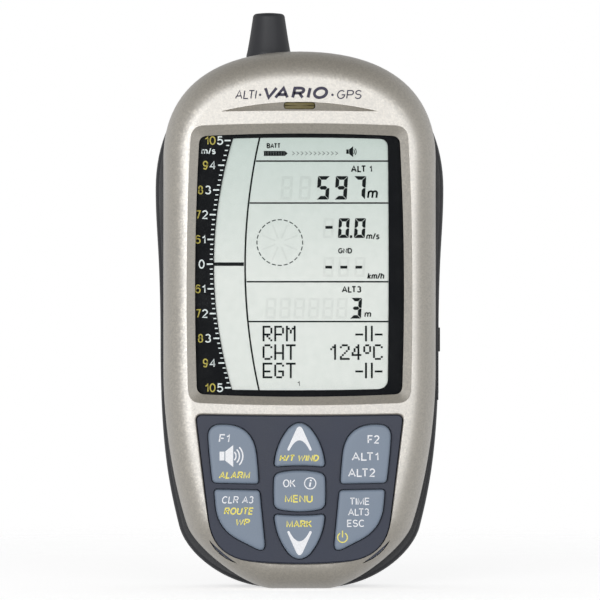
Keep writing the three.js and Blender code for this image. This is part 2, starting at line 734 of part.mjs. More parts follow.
function batteryTray() {
  const { halfX, bottom, top, front, back, wall } = TRAY;
  const outer = block([-halfX, halfX], [front, back], [bottom, top]);
  const pocket = block([-halfX + wall, halfX - wall], [front + 1.4, back + 5], [bottom + 1.5, top - 1.5]);
  const ribs = [-1, 0, 1].map((i) =>
    block([i * CELL.pitch - 1.2, i * CELL.pitch + 1.2], [front + 1, front + 3.4], [bottom + 6, top - 6]),
  );
  const shelf = block([-halfX, halfX], [DOOR.edgeY - 2.6, DOOR.edgeY - 1.2], [1, bottom + 1]);
  const lip = block([-halfX, halfX], [back - 1.4, back], [top - 1, DOOR.top + 3]);
  const slots = [0, CELL_COUNT - 1].map((i) => {
    const x = cellX(i);
    return block([x - 1.4, x + 1.4], [CELL.y - 4.5, CELL.y - 2.9], [bottom - 5, bottom + 3]);
  });
  const tray = joined(cutBy(outer, pocket), ...ribs, shelf, lip).intersect(rearCavity(0.4));
  return cutBy(tray, ...slots);
}

// The door: a slice of the rear shell's skin, with a rail under each long edge and a ribbed grip.
function batteryDoor() {
  const { halfX, top, edgeY } = DOOR;
  const inner = profiled(rearOutline(), DOOR_INNER_PROFILE);
  const slice = block([-halfX, halfX], [edgeY, 30], [-5, top]);
  const skin = cutBy(rearOuter(), inner).intersect(slice);
  const rails = [-1, 1].flatMap((side) => {
    const span = (a, b) => (side > 0 ? [a, b] : [-b, -a]);
    const { inner: near, outer: far, front, back, bottom, top: high } = RAIL;
    return [
      block(span(near, near + 1.4), [front, BACK_INNER_Y + 0.3], [bottom, high]),
      block(span(near, far), [front, back], [bottom, high]),
    ];
  });
  const grip = [0, 1, 2, 3].map((i) => {
    const z = 64 + i * 2.6;
    return block([-9 + i * 0.8, 9 - i * 0.8], [BACK_Y - 0.6, BACK_Y + 1], [z, z + 1.2]);
  });
  return cutBy(joined(skin, ...rails), ...grip);
}

const batteryLead = (i) => {
  const x = cellX(i);
  const side = Math.sign(x);
  const points = [
    [x, CELL.y - 3.7, TRAY.bottom - 1.2],
    [x, CELL.y - 4.2, TRAY.bottom - 3],
    [x - side * 0.6, 1, TRAY.bottom - 5],
    [x - side * 1, -4, TRAY.bottom - 4.6],
    [x - side * 1, BOARD_BACK_Y + 0.6, TRAY.bottom - 4.6],
  ];
  return wire(points, 0.6, 10);
};

// ---------------------------------------------------------------- socket bay
const SOCKET_FACE_X = BAY.floor - 1.4;
const socketBoard = () => block([36, 37.6], [SOCKET_Y - 6, SOCKET_Y + 6], [BAY.bottom + 1, BAY.top - 1]);

// A round jack with its bore.
function jack(z, bore) {
  const body = barX(SOCKET_Y, z, 3.2, [37.9, SOCKET_FACE_X]);
  return cutBy(body, barX(SOCKET_Y, z, bore, [39.5, 50], 12));
}

function dataSocket() {
  const z = SOCKETS_Z.data;
  const body = block([37.9, SOCKET_FACE_X], [SOCKET_Y - 2, SOCKET_Y + 2], [z - 4, z + 4]);
  const mouth = block([39.5, 50], [SOCKET_Y - 1.5, SOCKET_Y + 1.5], [z - 3.5, z + 3.5]);
  const tongue = block([39, SOCKET_FACE_X - 0.6], [SOCKET_Y - 0.4, SOCKET_Y + 0.4], [z - 2.6, z + 2.6]);
  return joined(cutBy(body, mouth), tongue);
}

// A rubber strip with a rolled rear edge, bored at both ends for its pins, and a plug for each socket.
function socketCover() {
  const inner = BAY.outer - COVER_THICKNESS;
  const strip = block([inner, BAY.outer], [BAY.front, HINGE.y], [BAY.bottom, BAY.top]);
  const rollRadius = COVER_THICKNESS / 2;
  const roll = new THREE.CylinderGeometry(rollRadius, rollRadius, BAY.top - BAY.bottom, 16);
  const plugs = Object.values(SOCKETS_Z).map((z) => barX(SOCKET_Y, z, 1.9, [inner - 1, inner + 0.3], 12));
  const pull = block([BAY.outer - 0.2, BAY.outer + 0.5], [BAY.front + 0.8, BAY.front + 1.8], [78, 86]);
  const rolled = solid(roll.rotateX(Math.PI / 2).translate(HINGE.x, HINGE.y, (BAY.top + BAY.bottom) / 2));
  const { bore, reach } = HINGE_PIN;
  return cutBy(joined(strip, rolled, pull, ...plugs), ...hingeBars(bore, 1, reach + GAP));
}

// ---------------------------------------------------------------- sound, bracket and screws
const speaker = () => {
  const { x, z, radius, y } = SPEAKER;
  return joined(barY(x, z, radius, [y[0] + 1.8, y[1]], 28), barY(x, z, 7, [y[0], y[0] + 1.9], 20));
};

const bracketInsert = (side) => {
  const x = side * BRACKET.insertX;
  return cutBy(barY(x, BRACKET.z, 2.8, [12.4, PAD_Y - GAP]), barY(x, BRACKET.z, 1.7, [10, 25], 12));
};

function screw(x, z, { head, headY, shank, tipY }) {
  const body = joined(barY(x, z, head, headY), barY(x, z, shank, [tipY, headY[0] + 0.1], 8));
  return cutBy(body, barY(x, z, head / 2, [headY[1] - 1.1, headY[1] + 1], 6));
}

const boardScrew = (x, z) => {
  const seat = BOARD_BACK_Y + GAP;
  return screw(x, z, { ...BOARD_SCREW, headY: [seat, seat + 1.6] });
};

// ---------------------------------------------------------------- assembly
const instrument = new THREE.Group();

function place(name, made, material) {
  const mesh = new THREE.Mesh(geometryOf(made), material);
  mesh.name = name;
  instrument.add(mesh);
}

place("front_shell", frontShell(), PAINT);
place("rear_shell", rearShell(), DARK_PLASTIC);
place("case_seal", caseSeal(), RUBBER);
place("screen_lens", screenLens(), CLEAR);
place("scale_mask", scaleMask(), BLACK_PRINT);
place("lens_gasket", lensGasket(), RUBBER);
place("lcd_panel", lcdPanel(), LCD_GLASS);
place("lcd_backlight", lcdBacklight(), DIFFUSER);
place("lcd_frame", lcdFrame(), WHITE_PLASTIC);
place("indicator_lens", indicatorLens(), AMBER);
place("keypad_panel", keypadPanel(), PANEL_PLASTIC);
place("keypad_mat", keypadMat(), KEY_SILICONE);
place("dome_sheet", domeSheet(), STEEL);
for (const [name, outline, x, z] of KEYS) place(name, key(outline, x, z), KEY_SILICONE);

place("main_board", mainBoard(), BOARD_GREEN);
place("gps_receiver", onBoard(-16, 144, 11, 11, 2.6), TIN);
place("processor_chip", onBoard(6, 116, 8, 8, 1.5), CHIP_BLACK);
place("pressure_sensor", pressureSensor(), TIN);

place("antenna_cap", antennaCap(), DARK_PLASTIC);
place("antenna_element", antennaElement(), WHITE_PLASTIC);
place("antenna_seal", antennaSeal(), RUBBER);
place("antenna_lead", antennaLead(), BLACK_WIRE);

place("battery_tray", batteryTray(), DARK_PLASTIC);
for (let i = 0; i < CELL_COUNT; i++) place(`battery_cell_${i + 1}`, batteryCell(i), CELL_WRAP);
place("contact_upper_left", contact([0, 1], true), TIN);
place("contact_upper_right", contact([2, 3], true), TIN);
place("contact_lower_middle", contact([1, 2], false), TIN);
place("contact_lower_left", endContact(0), TIN);
place("contact_lower_right", endContact(3), TIN);
place("battery_lead_red", batteryLead(3), RED_WIRE);
place("battery_lead_black", batteryLead(0), BLACK_WIRE);
place("battery_door", batteryDoor(), DARK_PLASTIC);

place("socket_board", socketBoard(), BOARD_GREEN);
place("charging_socket", jack(SOCKETS_Z.charging, 1.9), CHIP_BLACK);
place("data_socket", dataSocket(), TIN);
place("sensor_socket", jack(SOCKETS_Z.sensor, 1.8), CHIP_BLACK);
place("socket_cover", socketCover(), RUBBER);

place("speaker", speaker(), CHIP_BLACK);
place("bracket_insert_left", bracketInsert(-1), BRASS);
place("bracket_insert_right", bracketInsert(1), BRASS);
bothSides(CASE_SCREWS).forEach(([x, z], i) => place(`case_screw_${i + 1}`, screw(x, z, CASE_SCREW), STEEL));
bothSides(BOARD_SCREWS).forEach(([x, z], i) => place(`board_screw_${i + 1}`, boardScrew(x, z), STEEL));

export default instrument;
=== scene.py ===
import logging
import math
from collections.abc import Iterable, Sequence
from dataclasses import dataclass
from enum import Enum
from typing import Any

import bmesh
import bpy
import numpy as np
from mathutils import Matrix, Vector


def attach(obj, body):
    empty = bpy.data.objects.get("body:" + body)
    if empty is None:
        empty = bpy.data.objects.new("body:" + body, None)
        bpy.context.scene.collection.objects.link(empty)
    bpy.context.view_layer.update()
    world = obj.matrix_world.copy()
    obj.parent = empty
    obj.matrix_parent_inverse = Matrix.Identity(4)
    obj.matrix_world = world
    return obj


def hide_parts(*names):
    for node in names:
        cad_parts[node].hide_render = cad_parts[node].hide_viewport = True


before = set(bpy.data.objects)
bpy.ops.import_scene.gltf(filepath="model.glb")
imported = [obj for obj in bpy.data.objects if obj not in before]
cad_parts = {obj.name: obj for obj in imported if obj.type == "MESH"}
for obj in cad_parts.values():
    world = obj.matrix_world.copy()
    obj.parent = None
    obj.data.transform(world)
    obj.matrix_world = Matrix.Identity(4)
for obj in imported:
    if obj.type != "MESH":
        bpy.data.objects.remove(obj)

LOG = logging.getLogger("flight_instrument")
MM = 0.001  # every size below is in millimetres, and every mesh in metres

Point = tuple[float, float]
Loop = np.ndarray  # closed outline, one (x, z) row a point, counter-clockwise from the front
Colour = tuple[float, float, float]
Level = tuple[Loop, float]


class Body(Enum):
    """The rigid bodies that a piece can move with."""

    HOUSING = "housing"
    ALARM = "alarm_button"
    UP = "up_button"
    ALTITUDE = "altitude_button"
    ROUTE = "route_button"
    MENU = "menu_button"
    DOWN = "down_button"
    POWER = "power_button"
    DOOR = "door"
    COVER = "cover"


class Cut(Enum):
    """How one solid changes another."""

    REMOVE = "DIFFERENCE"
    ADD = "UNION"
    KEEP_SHARED = "INTERSECT"


# ---------------------------------------------------------------- outlines


def cubic(start: Point, first: Point, second: Point, end: Point, steps: int) -> Loop:
    """Points on a cubic curve, without its start.

    Args:
        start: First end of the curve.
        first: Handle of the start.
        second: Handle of the end.
        end: Last end of the curve.
        steps: How many points to return.

    Returns:
        An array of steps rows.
    """
    t = np.linspace(0, 1, steps + 1)[1:, None]
    a, b, c, d = (np.array(p, float) for p in (start, first, second, end))
    return a * (1 - t) ** 3 + 3 * b * t * (1 - t) ** 2 + 3 * c * t * t * (1 - t) + d * t**3


def quadratic(a: np.ndarray, b: np.ndarray, c: np.ndarray, t: np.ndarray) -> np.ndarray:
    """Points at t on the quadratic curve from a to c with handle b."""
    t = np.asarray(t, float)[:, None]
    return a * (1 - t) ** 2 + 2 * b * t * (1 - t) + c * t * t


def inward(loop: Loop) -> Loop:
    """Unit directions into a counter-clockwise loop, one a point."""
    ahead = np.roll(loop, -1, 0) - loop
    ahead /= np.linalg.norm(ahead, axis=1, keepdims=True)
    along = ahead + np.roll(ahead, 1, 0)
    along /= np.linalg.norm(along, axis=1, keepdims=True)
    return np.stack((-along[:, 1], along[:, 0]), 1)


def inset(loop: Loop, distance: float) -> Loop:
    """The loop moved inwards by a distance, or outwards where it is negative."""
    return loop + inward(loop) * distance


def signed_area(loop: Loop) -> float:
    """Twice the loop's area, positive where it runs counter-clockwise."""
    following = np.roll(loop, -1, 0)
    return float(np.sum(loop[:, 0] * following[:, 1] - following[:, 0] * loop[:, 1]))


def half_outline(spans: Sequence[tuple[Point, Point, Point]], foot: float, steps: int = 26) -> Loop:
    """A shell's outline from its right half.

    Args:
        spans: Two handles and an end for each curve, from the foot to the top.
        foot: Half width of the flat foot.
        steps: Points on each curve.

    Returns:
        The whole outline, counter-clockwise.
    """
    right = [np.array([[x, 0.0] for x in np.linspace(0, foot, 5)])]
    for first, second, end in spans:
        right.append(cubic(tuple(right[-1][-1]), first, second, end, steps))
    right_half = np.concatenate(right)
    left_half = right_half[1:-1][::-1] * (-1, 1)
    return np.concatenate((right_half, left_half))


@dataclass(frozen=True)
class Corner:
    """A rounded corner of a panel, and the bulge of the side that leaves it."""

    x: float
    z: float
    round: float
    bow: float = 0.0


@dataclass(frozen=True)
class Panel:
    """A flat shape between rounded corners, whose sides may bow outwards."""

    corners: tuple[Corner, ...]

    def offset(self, distance: float) -> "Panel":
        """The same panel with every side moved inwards.

        Args:
            distance: How far, and negative to grow the panel.

        Returns:
            A panel with as many corners, whose roundings follow the move.
        """
        count = len(self.corners)
        moved = []
        for i, corner in enumerate(self.corners):
            before, after = self.corners[i - 1], self.corners[(i + 1) % count]
            here = np.array((corner.x, corner.z))
            to = here - (before.x, before.z)
            on = np.array((after.x, after.z)) - here
            to, on = to / np.linalg.norm(to), on / np.linalg.norm(on)
            n1, n2 = np.array((-to[1], to[0])), np.array((-on[1], on[0]))
            spot = here + (n1 + n2) * distance / (1 + float(n1 @ n2))
            half = (math.pi - math.acos(max(-1.0, min(1.0, float(to @ on))))) / 2
            rounding = max(0.12, corner.round - distance / math.tan(half))
            moved.append(Corner(float(spot[0]), float(spot[1]), rounding, corner.bow))
        return Panel(tuple(moved))

    def mirrored(self) -> "Panel":
        """The panel on the other side of the middle, still counter-clockwise."""
        count = len(self.corners)
        out = []
        for i in range(count):
            corner = self.corners[count - 1 - i]
            leaving = self.corners[(2 * count - 2 - i) % count]
            out.append(Corner(-corner.x, corner.z, corner.round, leaving.bow))
        return Panel(tuple(out))

    def loop(self, side_steps: int = 14, turn_steps: int = 9) -> Loop:
        """The panel's outline.

        Args:
            side_steps: Steps along each side.
            turn_steps: Steps round each corner.

        Returns:
            A loop with the same number of points whatever the offset.
        """
        sides = []
        count = len(self.corners)
        for i, corner in enumerate(self.corners):
            after = self.corners[(i + 1) % count]
            a, b = np.array((corner.x, corner.z)), np.array((after.x, after.z))
            along = b - a
            length = float(np.linalg.norm(along))
            outward = np.array((along[1], -along[0])) / length
            handle = (a + b) / 2 + outward * 2 * corner.bow
            start, end = corner.round / length, 1 - after.round / length
            sides.append((a, handle, b, start, max(start + 0.02, end)))
        rows = []
        for i, (a, handle, b, start, end) in enumerate(sides):
            following = sides[(i + 1) % count]
            edge = quadratic(a, handle, b, np.linspace(start, end, side_steps + 1))
            first = quadratic(*following[:3], [following[3]])[0]
            turn = quadratic(edge[-1], b, first, np.linspace(0, 1, turn_steps + 1)[1:-1])
            rows += [edge, turn]
        return np.concatenate(rows)


def box_panel(x0: float, z0: float, x1: float, z1: float, rounding: float = 0.3) -> Panel:
    """A panel with four equal corners."""
    spots = ((x0, z0), (x1, z0), (x1, z1), (x0, z1))
    return Panel(tuple(Corner(x, z, rounding) for x, z in spots))


# ---------------------------------------------------------------- meshes


def new_object(name: str, mesh: bpy.types.Mesh) -> bpy.types.Object:
    """An object at the origin that holds a mesh, linked to the scene."""
    made = bpy.data.objects.new(name, mesh)
    bpy.context.scene.collection.objects.link(made)
    return made


def from_bmesh(name: str, bm: bmesh.types.BMesh, outward: bool = True) -> bpy.types.Object:
    """Turns a bmesh into an object.

    Args:
        name: The object's name.
        bm: The mesh, which is freed.
        outward: Whether to make the faces point outwards first.

    Returns:
        The new object.
    """
    if outward:
        bmesh.ops.recalc_face_normals(bm, faces=bm.faces)
    mesh = bpy.data.meshes.new(name)
    bm.to_mesh(mesh)
    bm.free()
    return new_object(name, mesh)


def solid(name: str, points: np.ndarray, faces: Iterable[Sequence[int]]) -> bpy.types.Object:
    """A closed solid from points in millimetres and faces in any winding."""
    bm = bmesh.new()
    verts = [bm.verts.new(tuple(float(v) * MM for v in p)) for p in points]
    for face in faces:
        bm.faces.new([verts[i] for i in face])
    return from_bmesh(name, bm)


def loft(name: str, levels: Sequence[Level]) -> bpy.types.Object:
    """A solid through loops with equal counts of points, each at its own depth."""
    count = len(levels[0][0])
    points = np.concatenate([np.insert(loop, 1, y, axis=1) for loop, y in levels])
    faces: list[list[int]] = []
    for row in range(len(levels) - 1):
        base = row * count
        for i in range(count):
            j = (i + 1) % count
            faces.append([base + i, base + j, base + count + j, base + count + i])
    last = (len(levels) - 1) * count
    faces += [list(range(count)), list(range(last, last + count))]
    return solid(name, points, faces)


def plate(name: str, loop: Loop, front: float, back: float) -> bpy.types.Object:
    """A flat solid between two depths."""
    return loft(name, [(loop, front), (loop, back)])


def block(name: str, x: Point, y: Point, z: Point, soft: float = 0.0) -> bpy.types.Object:
    """A box between two corners, with its edges rounded off by soft."""
    bm = bmesh.new()
    bmesh.ops.create_cube(bm, size=1)
    for vert in bm.verts:
        span = zip(vert.co, (x, y, z))
        vert.co = [((a + b) / 2 + c * (b - a)) * MM for c, (a, b) in span]
    if soft:
        bmesh.ops.bevel(
            bm, geom=bm.edges[:], offset=soft * MM, segments=3, profile=0.5, affect="EDGES"
        )
    return from_bmesh(name, bm)


def revolve(
    name: str,
    profile: Sequence[Point],
    centre: tuple[float, float, float],
    axis: str = "Z",
    steps: int = 64,
) -> bpy.types.Object:
    """A solid of revolution.

    Args:
        name: The object's name.
        profile: [radius, height] pairs that start and end on the axis or close on themselves.
        centre: The point that height 0 lies at.
        axis: Which way the height runs: X, Y or Z.
        steps: Faces round the axis.

    Returns:
        The solid.
    """
    bm = bmesh.new()
    closed = profile[0] == profile[-1]
    rows = profile[:-1] if closed else profile
    rings = []
    for radius, height in rows:
        ring = []
        for k in range(1 if radius == 0 else steps):
            turn = 2 * math.pi * k / steps
            u, v = radius * math.cos(turn), radius * math.sin(turn)
            spot = {"X": (height, u, v), "Y": (v, height, u), "Z": (u, v, height)}[axis]
            ring.append(bm.verts.new([(s + c) * MM for s, c in zip(spot, centre)]))
        rings.append(ring)
    pairs = list(zip(rings, rings[1:])) + ([(rings[-1], rings[0])] if closed else [])
    for low, high in pairs:
        for k in range(steps):
            j = (k + 1) % steps
            corners = [low[k % len(low)], low[j % len(low)], high[j % len(high)], high[k % len(high)]]
            distinct = list(dict.fromkeys(corners))
            if len(distinct) > 2:
                bm.faces.new(distinct)
    return from_bmesh(name, bm)


def rod(
    name: str,
    radius: float,
    span: Point,
    centre: tuple[float, float, float],
    axis: str = "Z",
    steps: int = 64,
) -> bpy.types.Object:
    """A straight round rod from span[0] to span[1] along an axis."""
    start, end = span
    profile = [(0, start), (radius, start), (radius, end), (0, end)]
    return revolve(name, profile, centre, axis, steps)


def freeze(piece: bpy.types.Object) -> bpy.types.Object:
    """Applies a piece's modifiers to its mesh."""
    graph = bpy.context.evaluated_depsgraph_get()
    shaped = bpy.data.meshes.new_from_object(piece.evaluated_get(graph))
    piece.modifiers.clear()
    before, piece.data = piece.data, shaped
    if before.users == 0:
        bpy.data.meshes.remove(before)
    shaped.name = piece.name
    return piece


def discard(*pieces: bpy.types.Object) -> None:
    """Removes helper objects and their meshes."""
    for piece in pieces:
        mesh = piece.data
        bpy.data.objects.remove(piece)
        if mesh.users == 0:
            bpy.data.meshes.remove(mesh)


def carve(piece: bpy.types.Object, how: Cut, *tools: bpy.types.Object) -> bpy.types.Object:
    """Cuts or joins solids.

    Args:
        piece: The solid that is changed.
        how: What the tools do to it.
        tools: Closed solids, which are used up.

    Returns:
        The changed piece.
    """
    for tool in tools:
        step = piece.modifiers.new(tool.name, "BOOLEAN")
        step.operation = how.value
        step.solver = "MANIFOLD"
        step.object = tool
    freeze(piece)
    discard(*tools)
    return piece


def smooth(piece: bpy.types.Object, angle: float = 32.0) -> bpy.types.Object:
    """Shades a piece smooth except across edges sharper than angle, in degrees."""
    mesh = piece.data
    mesh.polygons.foreach_set("use_smooth", [True] * len(mesh.polygons))
    mesh.set_sharp_from_angle(angle=math.radians(angle))
    weigh = piece.modifiers.new("weigh", "WEIGHTED_NORMAL")
    weigh.keep_sharp = True
    return freeze(piece)


# ---------------------------------------------------------------- node graphs


class Graph:
    """A node tree that is wired up in code."""

    def __init__(self, tree: bpy.types.NodeTree) -> None:
        """Starts on an empty tree."""
        self.tree = tree
        tree.nodes.clear()

    def node(self, kind: str, inputs: dict[Any, Any] | None = None, **settings: Any) -> bpy.types.Node:
        """Adds a node.

        Args:
            kind: The node's type name.
            inputs: Values or sockets by the input's name or number.
            settings: Properties of the node.

        Returns:
            The node.
        """
        made = self.tree.nodes.new(kind)
        for name, value in settings.items():
            setattr(made, name, value)
        for key, value in (inputs or {}).items():
            if isinstance(key, int):
                socket = made.inputs[key]
            else:
                socket = next(s for s in made.inputs if s.name == key and s.enabled)
            if isinstance(value, bpy.types.NodeSocket):
                self.tree.links.new(value, socket)
            else:
                socket.default_value = value
        return made

    def math(self, operation: str, a: Any, b: Any = 0.0, clamp: bool = False) -> bpy.types.NodeSocket:
        """The result of a Math node on two values or sockets."""
        return self.node(
            "ShaderNodeMath", {0: a, 1: b}, operation=operation, use_clamp=clamp
        ).outputs[0]

    def vector(self, x: Any, y: Any, z: Any) -> bpy.types.NodeSocket:
        """A vector from three values or sockets."""
        return self.node("ShaderNodeCombineXYZ", {0: x, 1: y, 2: z}).outputs[0]


class Shaper(Graph):
    """A Geometry Nodes tree with named inputs for its sizes."""

    def __init__(self, name: str, sizes: dict[str, float | int | bpy.types.Object]) -> None:
        """Args:
            name: The tree's name.
            sizes: Each input's name and value; the value's type sets the socket's.
        """
        super().__init__(bpy.data.node_groups.new(name, "GeometryNodeTree"))
        self.sizes = sizes
        face = self.tree.interface
        face.new_socket("Geometry", in_out="OUTPUT", socket_type="NodeSocketGeometry")
        face.new_socket("Geometry", in_out="INPUT", socket_type="NodeSocketGeometry")
        kinds = {int: "NodeSocketInt", float: "NodeSocketFloat"}
        for label, value in sizes.items():
            kind = kinds.get(type(value), "NodeSocketObject")
            face.new_socket(label, in_out="INPUT", socket_type=kind)
        self.given = self.node("NodeGroupInput")

    def size(self, name: str) -> bpy.types.NodeSocket:
        """The socket of a named input."""
        return self.given.outputs[name]

    @property
    def start(self) -> bpy.types.NodeSocket:
        """The geometry that the tree begins with."""
        return self.given.outputs["Geometry"]

    def finish(self, geometry: bpy.types.NodeSocket, material: bpy.types.Material) -> None:
        """Ends the tree in plain geometry with its material."""
        real = self.node("GeometryNodeRealizeInstances", {"Geometry": geometry}).outputs[0]
        dressed = self.node("GeometryNodeSetMaterial", {"Geometry": real, "Material": material})
        self.node("NodeGroupOutput", {0: dressed.outputs[0]})

    def run(self, base: bpy.types.Object) -> bpy.types.Object:
        """Shapes an object with the tree and leaves it a plain mesh."""
        modifier = base.modifiers.new(self.tree.name, "NODES")
        modifier.node_group = self.tree
        for item in self.tree.interface.items_tree:
            if item.in_out == "INPUT" and item.name in self.sizes:
                modifier[item.identifier] = self.sizes[item.name]
        return freeze(base)


def rolled_skin(
    name: str,
    outline: Loop,
    depths: tuple[float, float, float],
    roll: float,
    rim: Point,
    material: bpy.types.Material,
) -> bpy.types.Object:
    """A shell's closed outer form: a straight wall that rolls over into a flat face.

    Args:
        name: The object's name.
        outline: The widest loop.
        depths: Where the wall starts, where the roll starts and where the face lies.
        roll: How far in from the outline the face begins.
        rim: How far the wall's free edge turns in, and over what depth.
        material: What the tree sets on it.

    Returns:
        The solid.
    """
    bm = bmesh.new()
    verts = [bm.verts.new((x * MM, 0, z * MM)) for x, z in outline]
    for i, vert in enumerate(verts):
        bm.edges.new((vert, verts[(i + 1) % len(verts)]))
    base = from_bmesh(name, bm, outward=False)
    inwards = base.data.attributes.new("inward", "FLOAT_VECTOR", "POINT")
    inwards.data.foreach_set("vector", np.insert(inward(outline), 1, 0, axis=1).ravel())
    rows, wall_share = 40, 0.4
    start, turn, face = (d * MM for d in depths)
    g = Shaper(
        "rolled_skin",
        {
            "Points": len(outline),
            "Rows": rows,
            "Wall Share": wall_share,
            "Wall Start": start,
            "Roll Start": turn,
            "Face": face,
            "Roll Width": roll * MM,
            "Rim Inset": rim[0] * MM,
            "Rim Depth": rim[1] * MM,
        },
    )
    across = g.math("ADD", g.size("Points"), 1.0)
    grid = g.node("GeometryNodeMeshGrid", {"Vertices X": across, "Vertices Y": g.size("Rows")})
    index = g.node("GeometryNodeInputIndex").outputs[0]
    column = g.math("FLOOR", g.math("DIVIDE", g.math("ADD", index, 0.5), g.size("Rows")))
    row = g.math("SUBTRACT", index, g.math("MULTIPLY", column, g.size("Rows")))
    share = g.math("DIVIDE", row, g.math("SUBTRACT", g.size("Rows"), 1.0))
    around = g.math("MODULO", g.math("ADD", column, 0.25), g.size("Points"))
    spot = g.node("GeometryNodeInputPosition").outputs[0]
    way = g.node("GeometryNodeInputNamedAttribute", {"Name": "inward"}, data_type="FLOAT_VECTOR")
    picks = []
    for value in (spot, way.outputs["Attribute"]):
        pick = g.node(
            "GeometryNodeSampleIndex",
            {"Geometry": g.start, "Value": value, "Index": g.math("FLOOR", around)},
            data_type="FLOAT_VECTOR",
        )
        picks.append(pick.outputs[0])
    straight = g.math("DIVIDE", share, g.size("Wall Share"), clamp=True)
    straight = g.math("MULTIPLY", straight, straight)
    past = g.math("SUBTRACT", share, g.size("Wall Share"))
    turning = g.math("DIVIDE", past, g.math("SUBTRACT", 1.0, g.size("Wall Share")), clamp=True)
    angle = g.math("MULTIPLY", turning, math.pi / 2)
    lean = g.math("SUBTRACT", 1.0, g.math("COSINE", angle))
    rise = g.math("SUBTRACT", g.size("Roll Start"), g.size("Wall Start"))
    depth = g.math("ADD", g.size("Wall Start"), g.math("MULTIPLY", rise, straight))
    sweep = g.math("SUBTRACT", g.size("Face"), g.size("Roll Start"))
    depth = g.math("ADD", depth, g.math("MULTIPLY", sweep, g.math("SINE", angle)))
    travelled = g.math("ABSOLUTE", g.math("SUBTRACT", depth, g.size("Wall Start")))
    short = g.math("DIVIDE", travelled, g.size("Rim Depth"))
    near = g.math("SUBTRACT", 1.0, short, clamp=True)
    arc = g.math("SQRT", g.math("SUBTRACT", 1.0, g.math("MULTIPLY", near, near)))
    turned_in = g.math("MULTIPLY", g.size("Rim Inset"), g.math("SUBTRACT", 1.0, arc))
    distance = g.math("ADD", g.math("MULTIPLY", g.size("Roll Width"), lean), turned_in)
    shift = g.node("ShaderNodeVectorMath", {0: picks[1], "Scale": distance}, operation="SCALE")
    flat = g.node("ShaderNodeVectorMath", {0: picks[0], 1: shift.outputs[0]}, operation="ADD")
    place = g.node(
        "ShaderNodeVectorMath", {0: flat.outputs[0], 1: g.vector(0.0, depth, 0.0)}, operation="ADD"
    )
    moved = g.node(
        "GeometryNodeSetPosition", {"Geometry": grid.outputs[0], "Position": place.outputs[0]}
    )
    closed = g.node("GeometryNodeMergeByDistance", {"Geometry": moved.outputs[0], "Distance": 1e-6})
    g.finish(closed.outputs[0], material)
    skin = g.run(base)
    bm = bmesh.new()
    bm.from_mesh(skin.data)
    rims = [edge for edge in bm.edges if edge.is_boundary]
    bmesh.ops.edgeloop_fill(bm, edges=rims)
    bmesh.ops.recalc_face_normals(bm, faces=bm.faces)
    bm.to_mesh(skin.data)
    bm.free()
    return skin


def repeat_on_points(
    name: str,
    pattern: bpy.types.Object,
    places: Sequence[tuple[float, float, float]],
    material: bpy.types.Material,
    turns: Sequence[float] | None = None,
    sizes: Sequence[tuple[float, float, float]] | None = None,
) -> bpy.types.Object:
    """Copies of one small mesh on a row of points, as one mesh.

    Args:
        name: The object's name.
        pattern: The mesh to repeat, built round the origin. It is used up.
        places: Where each copy goes.
        material: What the tree sets on them.
        turns: Each copy's turn about Y, in radians.
        sizes: Each copy's scale along its own axes.

    Returns:
        The plain mesh.
    """
    mesh = bpy.data.meshes.new(name)
    mesh.from_pydata([tuple(v * MM for v in p) for p in places], [], [])
    base = new_object(name, mesh)
    count = len(places)
    turning = mesh.attributes.new("turn", "FLOAT", "POINT")
    turning.data.foreach_set("value", list(turns or [0.0] * count))
    sizing = mesh.attributes.new("size", "FLOAT_VECTOR", "POINT")
    sizing.data.foreach_set("vector", np.array(sizes or [(1, 1, 1)] * count, float).ravel())
    g = Shaper("repeat_on_points", {"Pattern": pattern, "Overall Size": 1.0})
    shape = g.node("GeometryNodeObjectInfo", {"Object": g.size("Pattern")})
    turn = g.node("GeometryNodeInputNamedAttribute", {"Name": "turn"}, data_type="FLOAT")
    size = g.node("GeometryNodeInputNamedAttribute", {"Name": "size"}, data_type="FLOAT_VECTOR")
    scaled = g.node(
        "ShaderNodeVectorMath",
        {0: size.outputs["Attribute"], "Scale": g.size("Overall Size")},
        operation="SCALE",
    )
    copies = g.node(
        "GeometryNodeInstanceOnPoints",
        {
            "Points": g.node("GeometryNodeMeshToPoints", {"Mesh": g.start}).outputs[0],
            "Instance": shape.outputs["Geometry"],
            "Rotation": g.vector(0.0, turn.outputs["Attribute"], 0.0),
            "Scale": scaled.outputs[0],
        },
    )
    g.finish(copies.outputs[0], material)
    made = g.run(base)
    discard(pattern)
    return made


